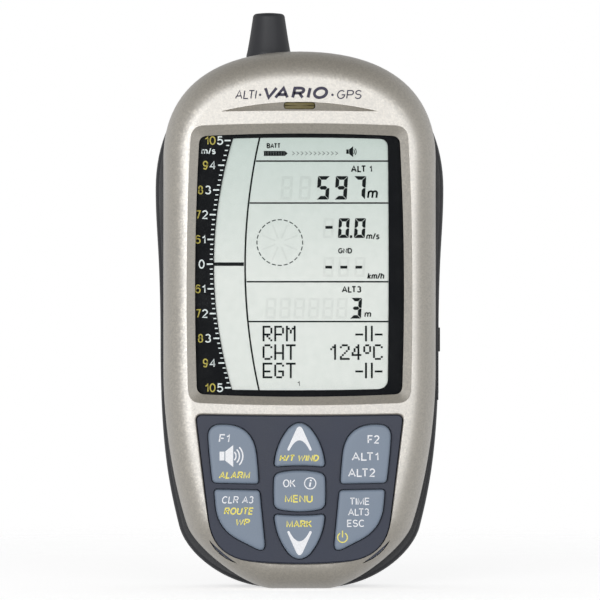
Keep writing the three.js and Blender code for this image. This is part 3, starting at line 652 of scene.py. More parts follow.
def coil(
    name: str,
    centre: tuple[float, float, float],
    radii: Point,
    height: float,
    turns: float,
    wire: float,
    material: bpy.types.Material,
) -> bpy.types.Object:
    """A wound spring along Z.

    Args:
        name: The object's name.
        centre: Its lower end.
        radii: Coil radius at the lower and upper end.
        height: Its free length.
        turns: How many windings it has.
        wire: The wire's radius.
        material: What the tree sets on it.

    Returns:
        The spring as a plain mesh.
    """
    base = new_object(name, bpy.data.meshes.new(name))
    g = Shaper(
        "coil",
        {
            "Turns": turns,
            "Lower Radius": radii[0] * MM,
            "Upper Radius": radii[1] * MM,
            "Height": height * MM,
            "Wire Radius": wire * MM,
        },
    )
    spiral = g.node(
        "GeometryNodeCurveSpiral",
        {
            "Resolution": 20,
            "Rotations": g.size("Turns"),
            "Start Radius": g.size("Lower Radius"),
            "End Radius": g.size("Upper Radius"),
            "Height": g.size("Height"),
        },
    )
    section = g.node("GeometryNodeCurvePrimitiveCircle", {"Resolution": 10, "Radius": g.size("Wire Radius")})
    tube = g.node(
        "GeometryNodeCurveToMesh",
        {"Curve": spiral.outputs[0], "Profile Curve": section.outputs[0], "Fill Caps": True},
    )
    place = Vector(centre) * MM
    moved = g.node("GeometryNodeTransform", {"Geometry": tube.outputs[0], "Translation": place})
    g.finish(moved.outputs[0], material)
    return g.run(base)


# ---------------------------------------------------------------- finishes


class Surface(Graph):
    """A material round one Principled shader, read in object coordinates."""

    def __init__(self, name: str, **constants: Any) -> None:
        """Starts a material.

        Args:
            name: The material's name.
            constants: Shader inputs that are the same all over, with _ for each space.
        """
        self.material = bpy.data.materials.new(name)
        self.material.use_nodes = True
        super().__init__(self.material.node_tree)
        self.shader = self.node("ShaderNodeBsdfPrincipled")
        self.end = self.node("ShaderNodeOutputMaterial", {0: self.shader.outputs[0]})
        self.place = self.node("ShaderNodeTexCoord").outputs["Object"]
        for label, value in constants.items():
            self.shader.inputs[label.replace("_", " ")].default_value = value

    def noise(self, scale: float, detail: float = 2.0) -> bpy.types.NodeSocket:
        """Soft noise with that many features a metre."""
        return self.node(
            "ShaderNodeTexNoise", {"Vector": self.place, "Scale": scale, "Detail": detail}
        ).outputs[0]

    def cells(self, scale: float) -> bpy.types.Node:
        """A Voronoi node with that many cells a metre."""
        return self.node("ShaderNodeTexVoronoi", {"Vector": self.place, "Scale": scale})

    def axis(self, name: str) -> bpy.types.NodeSocket:
        """One coordinate, in metres."""
        return self.node("ShaderNodeSeparateXYZ", {0: self.place}).outputs[name]

    def spread(
        self, value: Any, low: float, high: float, to_low: float, to_high: float
    ) -> bpy.types.NodeSocket:
        """Maps low..high to to_low..to_high, clamped."""
        sockets = {0: value, 1: low, 2: high, 3: to_low, 4: to_high}
        return self.node("ShaderNodeMapRange", sockets).outputs[0]

    def mix(self, amount: Any, a: Any, b: Any) -> bpy.types.NodeSocket:
        """Blends two colours."""
        a, b = ((*c, 1.0) if isinstance(c, tuple) and len(c) == 3 else c for c in (a, b))
        return self.node("ShaderNodeMix", {0: amount, 6: a, 7: b}, data_type="RGBA").outputs[2]

    def set(self, label: str, value: bpy.types.NodeSocket) -> None:
        """Feeds a socket into an input of the shader."""
        self.tree.links.new(value, self.shader.inputs[label])

    def relief(self, height: Any, strength: float, distance: float) -> None:
        """Gives the shader a bump from a height, with distance in millimetres."""
        sockets = {"Strength": strength, "Distance": distance * MM, "Height": height}
        self.set("Normal", self.node("ShaderNodeBump", sockets).outputs[0])


def shade(colour: Colour, factor: float) -> Colour:
    """A colour made lighter or darker."""
    return tuple(min(1.0, c * factor) for c in colour)


@dataclass(frozen=True)
class MetallicLacquer:
    """Metallic lacquer: fine flakes in a tinted base under a neutral clear coat."""

    name: str = "champagne_lacquer"
    base: Colour = (0.355, 0.325, 0.272)
    flakes: float = 2300.0
    tilt: float = 0.2
    coat: float = 1.0

    def material(self) -> bpy.types.Material:
        """Builds the material."""
        s = Surface(
            self.name,
            Coat_Weight=self.coat,
            Coat_Roughness=0.43,
            Coat_IOR=2.6,
            Specular_IOR_Level=0.5,
        )
        flake = s.cells(self.flakes)
        tone = s.node("ShaderNodeSeparateColor", {0: flake.outputs["Color"]}).outputs[0]
        cloud = s.noise(55.0, 3.0)
        speckled = s.mix(tone, shade(self.base, 0.8), shade(self.base, 1.2))
        clouded = s.mix(s.spread(cloud, 0.35, 0.65, 0.0, 0.22), speckled, shade(self.base, 0.93))
        s.set("Base Color", clouded)
        s.set("Metallic", s.spread(tone, 0.0, 1.0, 0.15, 0.38))
        s.set("Roughness", s.spread(cloud, 0.3, 0.7, 0.4, 0.5))
        middle = (-0.5, -0.5, -0.5)
        centred = s.node(
            "ShaderNodeVectorMath", {0: flake.outputs["Color"], 1: middle}, operation="ADD"
        )
        leaning = s.node(
            "ShaderNodeVectorMath", {0: centred.outputs[0], "Scale": self.tilt}, operation="SCALE"
        )
        normal = s.node("ShaderNodeNewGeometry").outputs["Normal"]
        tilted = s.node("ShaderNodeVectorMath", {0: normal, 1: leaning.outputs[0]}, operation="ADD")
        unit = s.node("ShaderNodeVectorMath", {0: tilted.outputs[0]}, operation="NORMALIZE")
        s.set("Normal", unit.outputs[0])
        return s.material


@dataclass(frozen=True)
class Moulded:
    """Moulded plastic or rubber with a fine grain."""

    name: str
    colour: Colour
    roughness: float = 0.55
    grain: float = 2600.0
    relief: float = 0.25
    depth: float = 0.05
    specular: float = 0.5
    variation: float = 0.12

    def material(self) -> bpy.types.Material:
        """Builds the material."""
        s = Surface(self.name, Specular_IOR_Level=self.specular)
        cloud = s.noise(70.0, 4.0)
        pits = s.cells(self.grain).outputs["Distance"]
        fine = s.noise(self.grain * 1.4, 2.0)
        low, high = shade(self.colour, 1 - self.variation), shade(self.colour, 1 + self.variation)
        toned = s.mix(s.spread(cloud, 0.3, 0.7, 0.0, 1.0), low, high)
        s.set("Base Color", s.mix(s.spread(fine, 0.3, 0.7, 0.0, 0.35), toned, shade(self.colour, 1.35)))
        s.set("Roughness", s.spread(cloud, 0.25, 0.75, self.roughness - 0.07, self.roughness + 0.07))
        s.relief(s.math("ADD", pits, fine), self.relief, self.depth)
        return s.material


@dataclass(frozen=True)
class BrushedMetal:
    """Plated or brushed metal with fine scratches along one axis."""

    name: str
    colour: Colour
    roughness: float = 0.3
    along: tuple[float, float, float] = (300.0, 4000.0, 4000.0)

    def material(self) -> bpy.types.Material:
        """Builds the material."""
        s = Surface(self.name, Metallic=1.0)
        stretched = s.node("ShaderNodeMapping", {"Vector": s.place, "Scale": self.along}).outputs[0]
        lines = s.node("ShaderNodeTexNoise", {"Vector": stretched, "Scale": 1.0, "Detail": 3.0}).outputs[0]
        stain = s.noise(160.0, 3.0)
        s.set("Base Color", s.mix(stain, shade(self.colour, 0.72), shade(self.colour, 1.08)))
        s.set("Roughness", s.spread(lines, 0.3, 0.7, self.roughness - 0.08, self.roughness + 0.14))
        s.relief(lines, 0.2, 0.02)
        return s.material


@dataclass(frozen=True)
class Ink:
    """Screen-printed ink, slightly uneven in its cover."""

    name: str
    colour: Colour
    roughness: float = 0.5
    specular: float = 0.35

    def material(self) -> bpy.types.Material:
        """Builds the material."""
        s = Surface(self.name, Specular_IOR_Level=self.specular)
        cover = s.noise(3800.0, 2.0)
        s.set("Base Color", s.mix(s.spread(cover, 0.35, 0.7, 0.0, 1.0), self.colour, shade(self.colour, 0.86)))
        s.set("Roughness", s.spread(cover, 0.3, 0.7, self.roughness - 0.06, self.roughness + 0.06))
        return s.material


@dataclass(frozen=True)
class CrystalPanel:
    """Reflective liquid-crystal glass: pale, with painted shade that makes it a little darker towards the top,
    and a fine cell grid.
    """

    name: str = "crystal_panel"
    top: Colour = (0.60, 0.64, 0.625)
    bottom: Colour = (0.835, 0.805, 0.80)
    span: Point = (103.0, 151.0)

    def material(self) -> bpy.types.Material:
        """Builds the material."""
        s = Surface(self.name, Specular_IOR_Level=0.25)
        # painted shade: the colour darkens from the bottom colour to the top colour, standing in for less
        # light on the upper screen
        height = s.spread(s.axis("Z"), self.span[0] * MM, self.span[1] * MM, 0.0, 1.0)
        painted_top_shade = s.mix(height, self.bottom, self.top)
        mottled = s.noise(420.0, 5.0)
        fibre = s.cells(1500.0).outputs["Distance"]
        speckled = s.mix(s.spread(mottled, 0.35, 0.65, 0.0, 0.09), painted_top_shade, (0.42, 0.47, 0.44))
        s.set("Base Color", s.mix(s.spread(fibre, 0.2, 0.8, 0.0, 0.06), speckled, (0.9, 0.92, 0.9)))
        s.set("Roughness", s.spread(mottled, 0.3, 0.7, 0.42, 0.55))
        s.relief(fibre, 0.08, 0.02)
        return s.material


@dataclass(frozen=True)
class ClearCover:
    """Clear acrylic, thin enough to see straight through, with faint wipe marks in its gloss."""

    name: str = "clear_cover"
    index: float = 1.3
    tint: Colour = (0.97, 0.99, 0.98)

    def material(self) -> bpy.types.Material:
        """Builds the material."""
        s = Surface(self.name)
        wipes = s.noise(120.0, 5.0)
        clear = s.node("ShaderNodeBsdfTransparent", {"Color": (*self.tint, 1.0)})
        rough = s.spread(wipes, 0.3, 0.7, 0.04, 0.12)
        gloss = s.node("ShaderNodeBsdfGlossy", {"Color": (1, 1, 1, 1), "Roughness": rough})
        glance = s.node("ShaderNodeFresnel", {"IOR": self.index}).outputs[0]
        entering = s.math("SUBTRACT", 1.0, s.node("ShaderNodeNewGeometry").outputs["Backfacing"])
        share = s.math("MULTIPLY", glance, entering)
        both = s.node("ShaderNodeMixShader", {0: share, 1: clear.outputs[0], 2: gloss.outputs[0]})
        s.tree.nodes.remove(s.shader)
        s.tree.links.new(both.outputs[0], s.end.inputs[0])
        return s.material


@dataclass(frozen=True)
class CircuitBoard:
    """Solder resist with copper tracks under it and tinned pads."""

    name: str = "circuit_board"
    resist: Colour = (0.012, 0.10, 0.045)

    def material(self) -> bpy.types.Material:
        """Builds the material."""
        s = Surface(self.name, Specular_IOR_Level=0.6)
        facing = s.node("ShaderNodeMapping", {"Vector": s.place, "Rotation": (math.pi / 2, 0, 0)}).outputs[0]
        tracks = s.node("ShaderNodeTexBrick", {"Vector": facing, "Scale": 160.0, "Mortar Size": 0.06})
        pads = s.spread(s.cells(240.0).outputs["Distance"], 0.12, 0.16, 1.0, 0.0)
        green = s.mix(tracks.outputs["Fac"], self.resist, shade(self.resist, 1.9))
        s.set("Base Color", s.mix(pads, green, (0.62, 0.6, 0.55)))
        s.set("Roughness", s.spread(pads, 0.0, 1.0, 0.35, 0.25))
        s.relief(tracks.outputs["Fac"], 0.3, 0.03)
        return s.material


@dataclass(frozen=True)
class CellWrap:
    """The printed wrap of a battery cell: a broad band of colour and a bright one."""

    name: str = "cell_wrap"
    band: Colour = (0.03, 0.13, 0.26)
    bright: Colour = (0.62, 0.5, 0.2)
    split: float = 60.0

    def material(self) -> bpy.types.Material:
        """Builds the material."""
        s = Surface(self.name, Coat_Weight=0.6, Coat_Roughness=0.15)
        upper = s.spread(s.axis("Z"), self.split * MM, (self.split + 0.4) * MM, 0.0, 1.0)
        scuffs = s.noise(300.0, 6.0)
        wrap = s.mix(upper, self.band, self.bright)
        s.set("Base Color", s.mix(s.spread(scuffs, 0.58, 0.75, 0.0, 0.5), wrap, (0.5, 0.5, 0.5)))
        s.set("Metallic", s.spread(upper, 0.0, 1.0, 0.3, 0.9))
        s.set("Roughness", s.spread(scuffs, 0.3, 0.7, 0.25, 0.4))
        s.relief(scuffs, 0.15, 0.03)
        return s.material


# ---------------------------------------------------------------- prints


def bend(x: float, z: float, rx: float, rz: float, start: float, end: float) -> list[Point]:
    """Points on an elliptic arc between two angles in degrees, anticlockwise from +X."""
    turns = np.radians(np.linspace(start, end, max(4, int(abs(end - start) / 12))))
    return [(x + rx * math.cos(t), z + rz * math.sin(t)) for t in turns]


def glyphs() -> dict[str, tuple[float, list[list[Point]]]]:
    """The plain lettering: each sign's width and its strokes, with capitals one unit high."""
    return {
        " ": (0.22, []),
        "A": (0.74, [[(0, 0), (0.37, 1), (0.74, 0)], [(0.13, 0.32), (0.61, 0.32)]]),
        "B": (
            0.62,
            [
                [(0, 0.53), *bend(0.36, 0.765, 0.22, 0.235, -90, 90), (0, 1), (0, 0)],
                [(0, 0), *bend(0.38, 0.265, 0.24, 0.265, -90, 90), (0, 0.53)],
            ],
        ),
        "C": (0.7, [bend(0.37, 0.5, 0.37, 0.5, 48, 312)]),
        "D": (0.68, [[(0, 0), *bend(0.28, 0.5, 0.4, 0.5, -90, 90), (0, 1), (0, -0.06)]]),
        "E": (0.54, [[(0.54, 1), (0, 1), (0, 0), (0.54, 0)], [(0, 0.52), (0.48, 0.52)]]),
        "F": (0.52, [[(0.52, 1), (0, 1), (0, 0)], [(0, 0.5), (0.44, 0.5)]]),
        "G": (0.74, [[*bend(0.37, 0.5, 0.37, 0.5, 46, 335), (0.72, 0.46), (0.4, 0.46)]]),
        "H": (0.64, [[(0, 0), (0, 1)], [(0.64, 0), (0.64, 1)], [(0, 0.52), (0.64, 0.52)]]),
        "I": (0.0, [[(0, 0), (0, 1)]]),
        "K": (0.64, [[(0, 0), (0, 1)], [(0.6, 1), (0, 0.36)], [(0.2, 0.6), (0.64, 0)]]),
        "L": (0.5, [[(0, 1), (0, 0), (0.5, 0)]]),
        "M": (0.78, [[(0, 0), (0, 1), (0.39, 0.08), (0.78, 1), (0.78, 0)]]),
        "N": (0.64, [[(0, 0), (0, 1), (0.64, 0), (0.64, 1)]]),
        "O": (0.76, [bend(0.38, 0.5, 0.38, 0.5, 0, 360)]),
        "P": (0.6, [[(0, 0), (0, 1), *bend(0.34, 0.73, 0.26, 0.27, 90, -90), (0, 0.46)]]),
        "R": (
            0.62,
            [
                [(0, 0), (0, 1), *bend(0.34, 0.74, 0.25, 0.26, 90, -90), (0, 0.48)],
                [(0.34, 0.48), (0.62, 0)],
            ],
        ),
        "S": (0.58, [[*bend(0.29, 0.75, 0.27, 0.25, 28, 255), *bend(0.29, 0.26, 0.29, 0.26, 75, -155)]]),
        "T": (0.62, [[(0, 1), (0.62, 1)], [(0.31, 1), (0.31, 0)]]),
        "U": (0.64, [[(0, 1), *bend(0.32, 0.32, 0.32, 0.32, 180, 360), (0.64, 1)]]),
        "V": (0.7, [[(0, 1), (0.35, 0), (0.7, 1)]]),
        "W": (1.0, [[(0, 1), (0.25, 0), (0.5, 0.94), (0.75, 0), (1.0, 1)]]),
        "0": (0.52, [bend(0.26, 0.5, 0.26, 0.5, 0, 360)]),
        "1": (0.26, [[(0, 0.72), (0.15, 0.8), (0.26, 1), (0.26, 0)]]),
        "2": (0.52, [[*bend(0.26, 0.72, 0.25, 0.28, 165, -38), (0, 0), (0.52, 0)]]),
        "3": (
            0.52,
            [[*bend(0.25, 0.76, 0.23, 0.24, 155, -75), *bend(0.25, 0.27, 0.27, 0.27, 75, -155)]],
        ),
        "4": (0.56, [[(0.42, 0), (0.42, 1), (0, 0.3), (0.56, 0.3)]]),
        "5": (0.52, [[(0.47, 1), (0.1, 1), (0.04, 0.5), *bend(0.25, 0.32, 0.27, 0.32, 120, -155)]]),
        "6": (
            0.52,
            [
                bend(0.26, 0.3, 0.26, 0.3, 0, 360),
                [*bend(0.27, 0.72, 0.25, 0.28, 30, 120), (0, 0.55), (0, 0.3)],
            ],
        ),
        "7": (0.52, [[(0, 1), (0.52, 1), (0.18, 0)]]),
        "8": (0.52, [bend(0.26, 0.76, 0.22, 0.24, 0, 360), bend(0.26, 0.27, 0.26, 0.27, 0, 360)]),
        "9": (
            0.52,
            [
                bend(0.26, 0.7, 0.26, 0.3, 0, 360),
                [*bend(0.25, 0.28, 0.25, 0.28, 210, 300), (0.52, 0.45), (0.52, 0.7)],
            ],
        ),
        "/": (0.3, [[(0, -0.02), (0.3, 1.02)]]),
        "m": (
            0.84,
            [
                [(0, 0), (0, 0.72)],
                [(0, 0.4), *bend(0.21, 0.5, 0.21, 0.22, 180, 0), (0.42, 0)],
                [(0.42, 0.4), *bend(0.63, 0.5, 0.21, 0.22, 180, 0), (0.84, 0)],
            ],
        ),
        "s": (0.42, [[*bend(0.21, 0.54, 0.19, 0.18, 25, 255), *bend(0.21, 0.19, 0.21, 0.19, 75, -155)]]),
        "k": (0.46, [[(0, 0), (0, 1)], [(0.43, 0.7), (0, 0.26)], [(0.15, 0.42), (0.46, 0)]]),
        "h": (0.48, [[(0, 0), (0, 1)], [(0, 0.4), *bend(0.24, 0.48, 0.24, 0.24, 180, 0), (0.48, 0)]]),
        "i": (0.0, [[(0, 0), (0, 0.66)], [(0, 0.84), (0, 1.0)]]),
    }


GLYPHS = glyphs()
TIGHT_PAIRS = {"LT": 0.2, "VA": 0.26, "AT": 0.14, "TT": 0.06, "WP": 0.04, "T ": 0.1, "LA": 0.04}


class Artwork:
    """Flat prints between two depths, gathered into one mesh."""

    mitre_limit = 0.6

    def __init__(self, front: float, back: float) -> None:
        """Starts an empty print."""
        self.front, self.back = front, back
        self.bm = bmesh.new()

    def shape(self, points: Sequence[Point] | Loop) -> None:
        """Adds a closed shape given by its outline in either direction."""
        loop = np.array(points, float)
        if signed_area(loop) < 0:
            loop = loop[::-1]
        near = [self.bm.verts.new((x * MM, self.front * MM, z * MM)) for x, z in loop]
        far = [self.bm.verts.new((x * MM, self.back * MM, z * MM)) for x, z in loop]
        self.bm.faces.new(near)
        self.bm.faces.new(far[::-1])
        for i in range(len(near)):
            j = (i + 1) % len(near)
            self.bm.faces.new((near[i], far[i], far[j], near[j]))

    def stroke(self, points: Sequence[Point] | Loop, width: float) -> None:
        """Adds a line of even width through points, which closes where its ends meet."""
        path = np.array(points, float)
        closed = len(path) > 2 and bool(np.allclose(path[0], path[-1]))
        path = path[:-1] if closed else path
        after = np.roll(path, -1, 0) - path
        if not closed:
            after[-1] = after[-2]
        after /= np.linalg.norm(after, axis=1, keepdims=True)
        before = np.roll(after, 1, 0)
        if not closed:
            before[0] = after[0]
        cosine = np.sum(before * after, axis=1, keepdims=True)
        mitre = (before + after) / np.maximum(self.mitre_limit, 1 + cosine)
        half = np.stack((-mitre[:, 1], mitre[:, 0]), 1) * width / 2
        one, other = path + half, path - half
        corners = ((one, self.front), (other, self.front), (other, self.back), (one, self.back))
        rings = [
            [self.bm.verts.new((row[i][0] * MM, depth * MM, row[i][1] * MM)) for row, depth in corners]
            for i in range(len(path))
        ]
        for near, far in zip(rings, rings[1:] + (rings[:1] if closed else [])):
            for a in range(4):
                b = (a + 1) % 4
                self.bm.faces.new((near[a], near[b], far[b], far[a]))
        if not closed:
            self.bm.faces.new(rings[0])
            self.bm.faces.new(rings[-1][::-1])

    def arc(self, centre: Point, radius: float, start: float, end: float, width: float) -> None:
        """Adds a part of a ring between two angles in degrees, anticlockwise from +X."""
        self.stroke(bend(*centre, radius, radius, start, end), width)

    def ring(self, centre: Point, radius: float, width: float) -> None:
        """Adds a whole ring."""
        self.arc(centre, radius, 0, 360, width)

    def letters(
        self, text: str, box: tuple[float, float, float, float], weight: float = 0.4, slant: float = 0.0
    ) -> None:
        """Adds lettering.

        Args:
            text: What it says, in signs that GLYPHS has.
            box: Left, lower, right and upper edge of the inked area.
            weight: Width of each stroke.
            slant: How far it leans, for each unit of height.
        """
        cap = box[3] - box[1]
        gap = 0.1 + weight / cap
        left, paths = 0.0, []
        for i, sign in enumerate(text):
            width, strokes = GLYPHS[sign]
            left -= TIGHT_PAIRS.get(text[max(0, i - 1) : i + 1], 0.0)
            paths += [np.array([(left + x + z * slant, z) for x, z in line], float) for line in strokes]
            left += width + gap
        spots = np.concatenate(paths)
        low, high = spots.min(0), spots.max(0)
        inset_box = np.array((box[:2], box[2:])) + np.array(((1, 1), (-1, -1))) * weight / 2
        scale = (inset_box[1] - inset_box[0]) / np.maximum(high - low, 1e-9)
        for path in paths:
            self.stroke(inset_box[0] + (path - low) * scale, weight)

    def build(self, name: str, material: bpy.types.Material) -> bpy.types.Object:
        """Closes the print's mesh and gives it its ink."""
        piece = from_bmesh(name, self.bm)
        piece.data.materials.append(material)
        return piece


SEGMENTS_OF = {
    "0": "abcdef",
    "1": "bc",
    "2": "abged",
    "3": "abgcd",
    "4": "fgbc",
    "5": "afgcd",
    "6": "afgedc",
    "7": "abc",
    "8": "abcdefg",
    "9": "abcdfg",
    "-": "g",
}


@dataclass(frozen=True)
class SegmentDigit:
    """The form of a seven-segment digit."""

    width: float = 4.1
    height: float = 7.6
    bar: float = 1.05
    gap: float = 0.1
    slant: float = 0.06

    def draw(self, art: Artwork, sign: str, left: float, bottom: float) -> None:
        """Adds a digit to a print.

        Args:
            art: The print.
            sign: One of the keys of SEGMENTS_OF.
            left: The digit's left edge at its foot.
            bottom: Its foot.
        """
        w, h, t, g = self.width, self.height, self.bar, self.gap
        m = h / 2
        upright_low = [(0, g), (0, m - g), (t / 2, m - g), (t, m - t / 2 - g), (t, t + g)]
        upright_high = [(x, h - z) for x, z in upright_low]
        shapes = {
            "a": [(g, h), (w - g, h), (w - t - g, h - t), (t + g, h - t)],
            "d": [(g, 0), (w - g, 0), (w - t - g, t), (t + g, t)],
            "g": [
                (t / 2 + g, m),
                (t + g, m + t / 2),
                (w - t - g, m + t / 2),
                (w - t / 2 - g, m),
                (w - t - g, m - t / 2),
                (t + g, m - t / 2),
            ],
            "e": upright_low,
            "f": upright_high,
            "c": [(w - x, z) for x, z in upright_low],
            "b": [(w - x, z) for x, z in upright_high],
        }
        for part in SEGMENTS_OF[sign]:
            art.shape([(left + x + z * self.slant, bottom + z) for x, z in shapes[part]])


DOTS = {
    "R": "11110 10001 10001 10001 11110 10100 10010 10001",
    "P": "11110 10001 10001 10001 11110 10000 10000 10000",
    "M": "10001 11011 10101 10101 10001 10001 10001 10001",
    "C": "01110 10001 10000 10000 10000 10000 10001 01110",
    "H": "10001 10001 10001 10001 11111 10001 10001 10001",
    "T": "11111 00100 00100 00100 00100 00100 00100 00100",
    "E": "11111 10000 10000 10000 11110 10000 10000 11111",
    "G": "01110 10001 10000 10000 10111 10001 10001 01110",
    "1": "0010 0110 1010 0010 0010 0010 0010 0010",
    "2": "01110 10001 00001 00010 00100 01000 10000 11111",
    "4": "00010 00110 01010 01010 10010 11111 00010 00010",
    "o": "0110 1001 1001 1001 0110 0000 0000 0000",
    "=": (
        "00000100100000 00000100100000 00000100100000 00000100100000 "
        "11110100101111 00000100100000 00000100100000 00000100100000"
    ),
}


# ---------------------------------------------------------------- the object


def settle(
    piece: bpy.types.Object,
    body: Body,
    nodes: Sequence[str] = (),
    finish: bpy.types.Material | None = None,
) -> bpy.types.Object:
    """Makes a finished mesh part of the object.

    Args:
        piece: The mesh, in place.
        body: What it moves with.
        nodes: The frame's nodes that it stands for.
        finish: Its material, where it has none yet.

    Returns:
        The piece.
    """
    if finish is not None:
        piece.data.materials.clear()
        piece.data.materials.append(finish)
    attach(piece, body.value)
    if nodes:
        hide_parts(*nodes)
    LOG.info("%s rides on %s: %d faces", piece.name, body.value, len(piece.data.polygons))
    return piece


def dress(material: bpy.types.Material, *nodes: str) -> None:
    """Gives carried-over nodes their material."""
    for name in nodes:
        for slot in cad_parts[name].material_slots:
            slot.material = material
        LOG.info("%s dressed in %s", name, material.name)


class Finishes:
    """Every material of the object, built once."""

    def __init__(self) -> None:
        """Builds the materials."""
        self.lacquer = MetallicLacquer().material()
        self.dark = Moulded("dark_shell", (0.024, 0.025, 0.029), 0.52, relief=0.35).material()
        self.rubber = Moulded("black_rubber", (0.016, 0.016, 0.018), 0.75, 1800.0, 0.3).material()
        slate, key = (0.031, 0.037, 0.058), (0.18, 0.222, 0.285)
        self.panel = Moulded("slate_panel", slate, 0.5, 2400.0, 0.3, 0.05, 0.3).material()
        self.key = Moulded("key_silicone", key, 0.5, 3200.0, 0.18, 0.03, 0.4, 0.06).material()
        self.white = Moulded("white_plastic", (0.62, 0.61, 0.57), 0.5).material()
        self.chip = Moulded("chip_black", (0.014, 0.014, 0.016), 0.45, 4000.0).material()
        jet = (0.003, 0.003, 0.005)
        self.mask = Moulded("scale_print", jet, 0.4, 3000.0, 0.05, 0.01, 0.05).material()
        self.red = Moulded("red_wire", (0.36, 0.02, 0.02), 0.45, 1500.0, 0.1).material()
        self.black = Moulded("black_wire", (0.013, 0.013, 0.014), 0.45, 1500.0, 0.1).material()
        self.tinned = BrushedMetal("tinned_metal", (0.62, 0.63, 0.64)).material()
        self.steel = BrushedMetal("screw_steel", (0.28, 0.29, 0.3), 0.35).material()
        self.spring = BrushedMetal("spring_steel", (0.5, 0.51, 0.52), 0.25).material()
        self.brass = BrushedMetal("brass", (0.62, 0.43, 0.17), 0.3).material()
        olive = (0.125, 0.10, 0.028)
        self.olive = Moulded("light_pipe", olive, 0.2, 900.0, 0.05, 0.02, 0.5, 0.3).material()
        self.crystal = CrystalPanel().material()
        self.cover = ClearCover().material()
        self.board = CircuitBoard().material()
        self.wrap = CellWrap().material()
        self.dark_ink = Ink("title_ink", (0.035, 0.03, 0.06)).material()
        self.segment_ink = Ink("segment_ink", (0.006, 0.008, 0.009), 0.6, 0.1).material()
        # the off segments are a little darker than the crystal panel and keep its painted shade towards the
        # top
        top, bottom = shade(CrystalPanel.top, 0.91), shade(CrystalPanel.bottom, 0.92)
        self.resting = CrystalPanel("resting_segments", top, bottom).material()
        self.compass_ink = Ink("compass_ink", (0.07, 0.08, 0.08), 0.6, 0.1).material()
        self.yellow_ink = Ink("yellow_ink", (0.86, 0.76, 0.16)).material()
        self.white_ink = Ink("white_ink", (0.86, 0.87, 0.9)).material()
        self.scale_yellow = Ink("scale_yellow", (0.56, 0.44, 0.07)).material()


RIGHT_FRONT = (
    ((17, 0), (34.4, 12.9), (37.1, 21)),
    ((41.1, 33), (44.9, 53), (44.9, 72)),
    ((44.9, 95), (44.9, 119), (44.9, 142)),
    ((44.9, 161.7), (32.1, 177.1), (0, 177.1)),
)
RIGHT_REAR = (
    ((23.6, 0), (37.4, 10.5), (39.9, 20.2)),
    ((43.4, 34), (46.1, 48), (46.1, 80)),
    ((46.1, 112), (47.7, 117), (47.7, 132)),
    ((47.7, 156), (33, 176.6), (0, 176.6)),
)
FOOT_HALF = 9.0


def both_sides(places: Iterable[Point]) -> list[Point]:
    """Places on the right, and their mirror images."""
    return [(side * x, z) for x, z in places for side in (1, -1)]


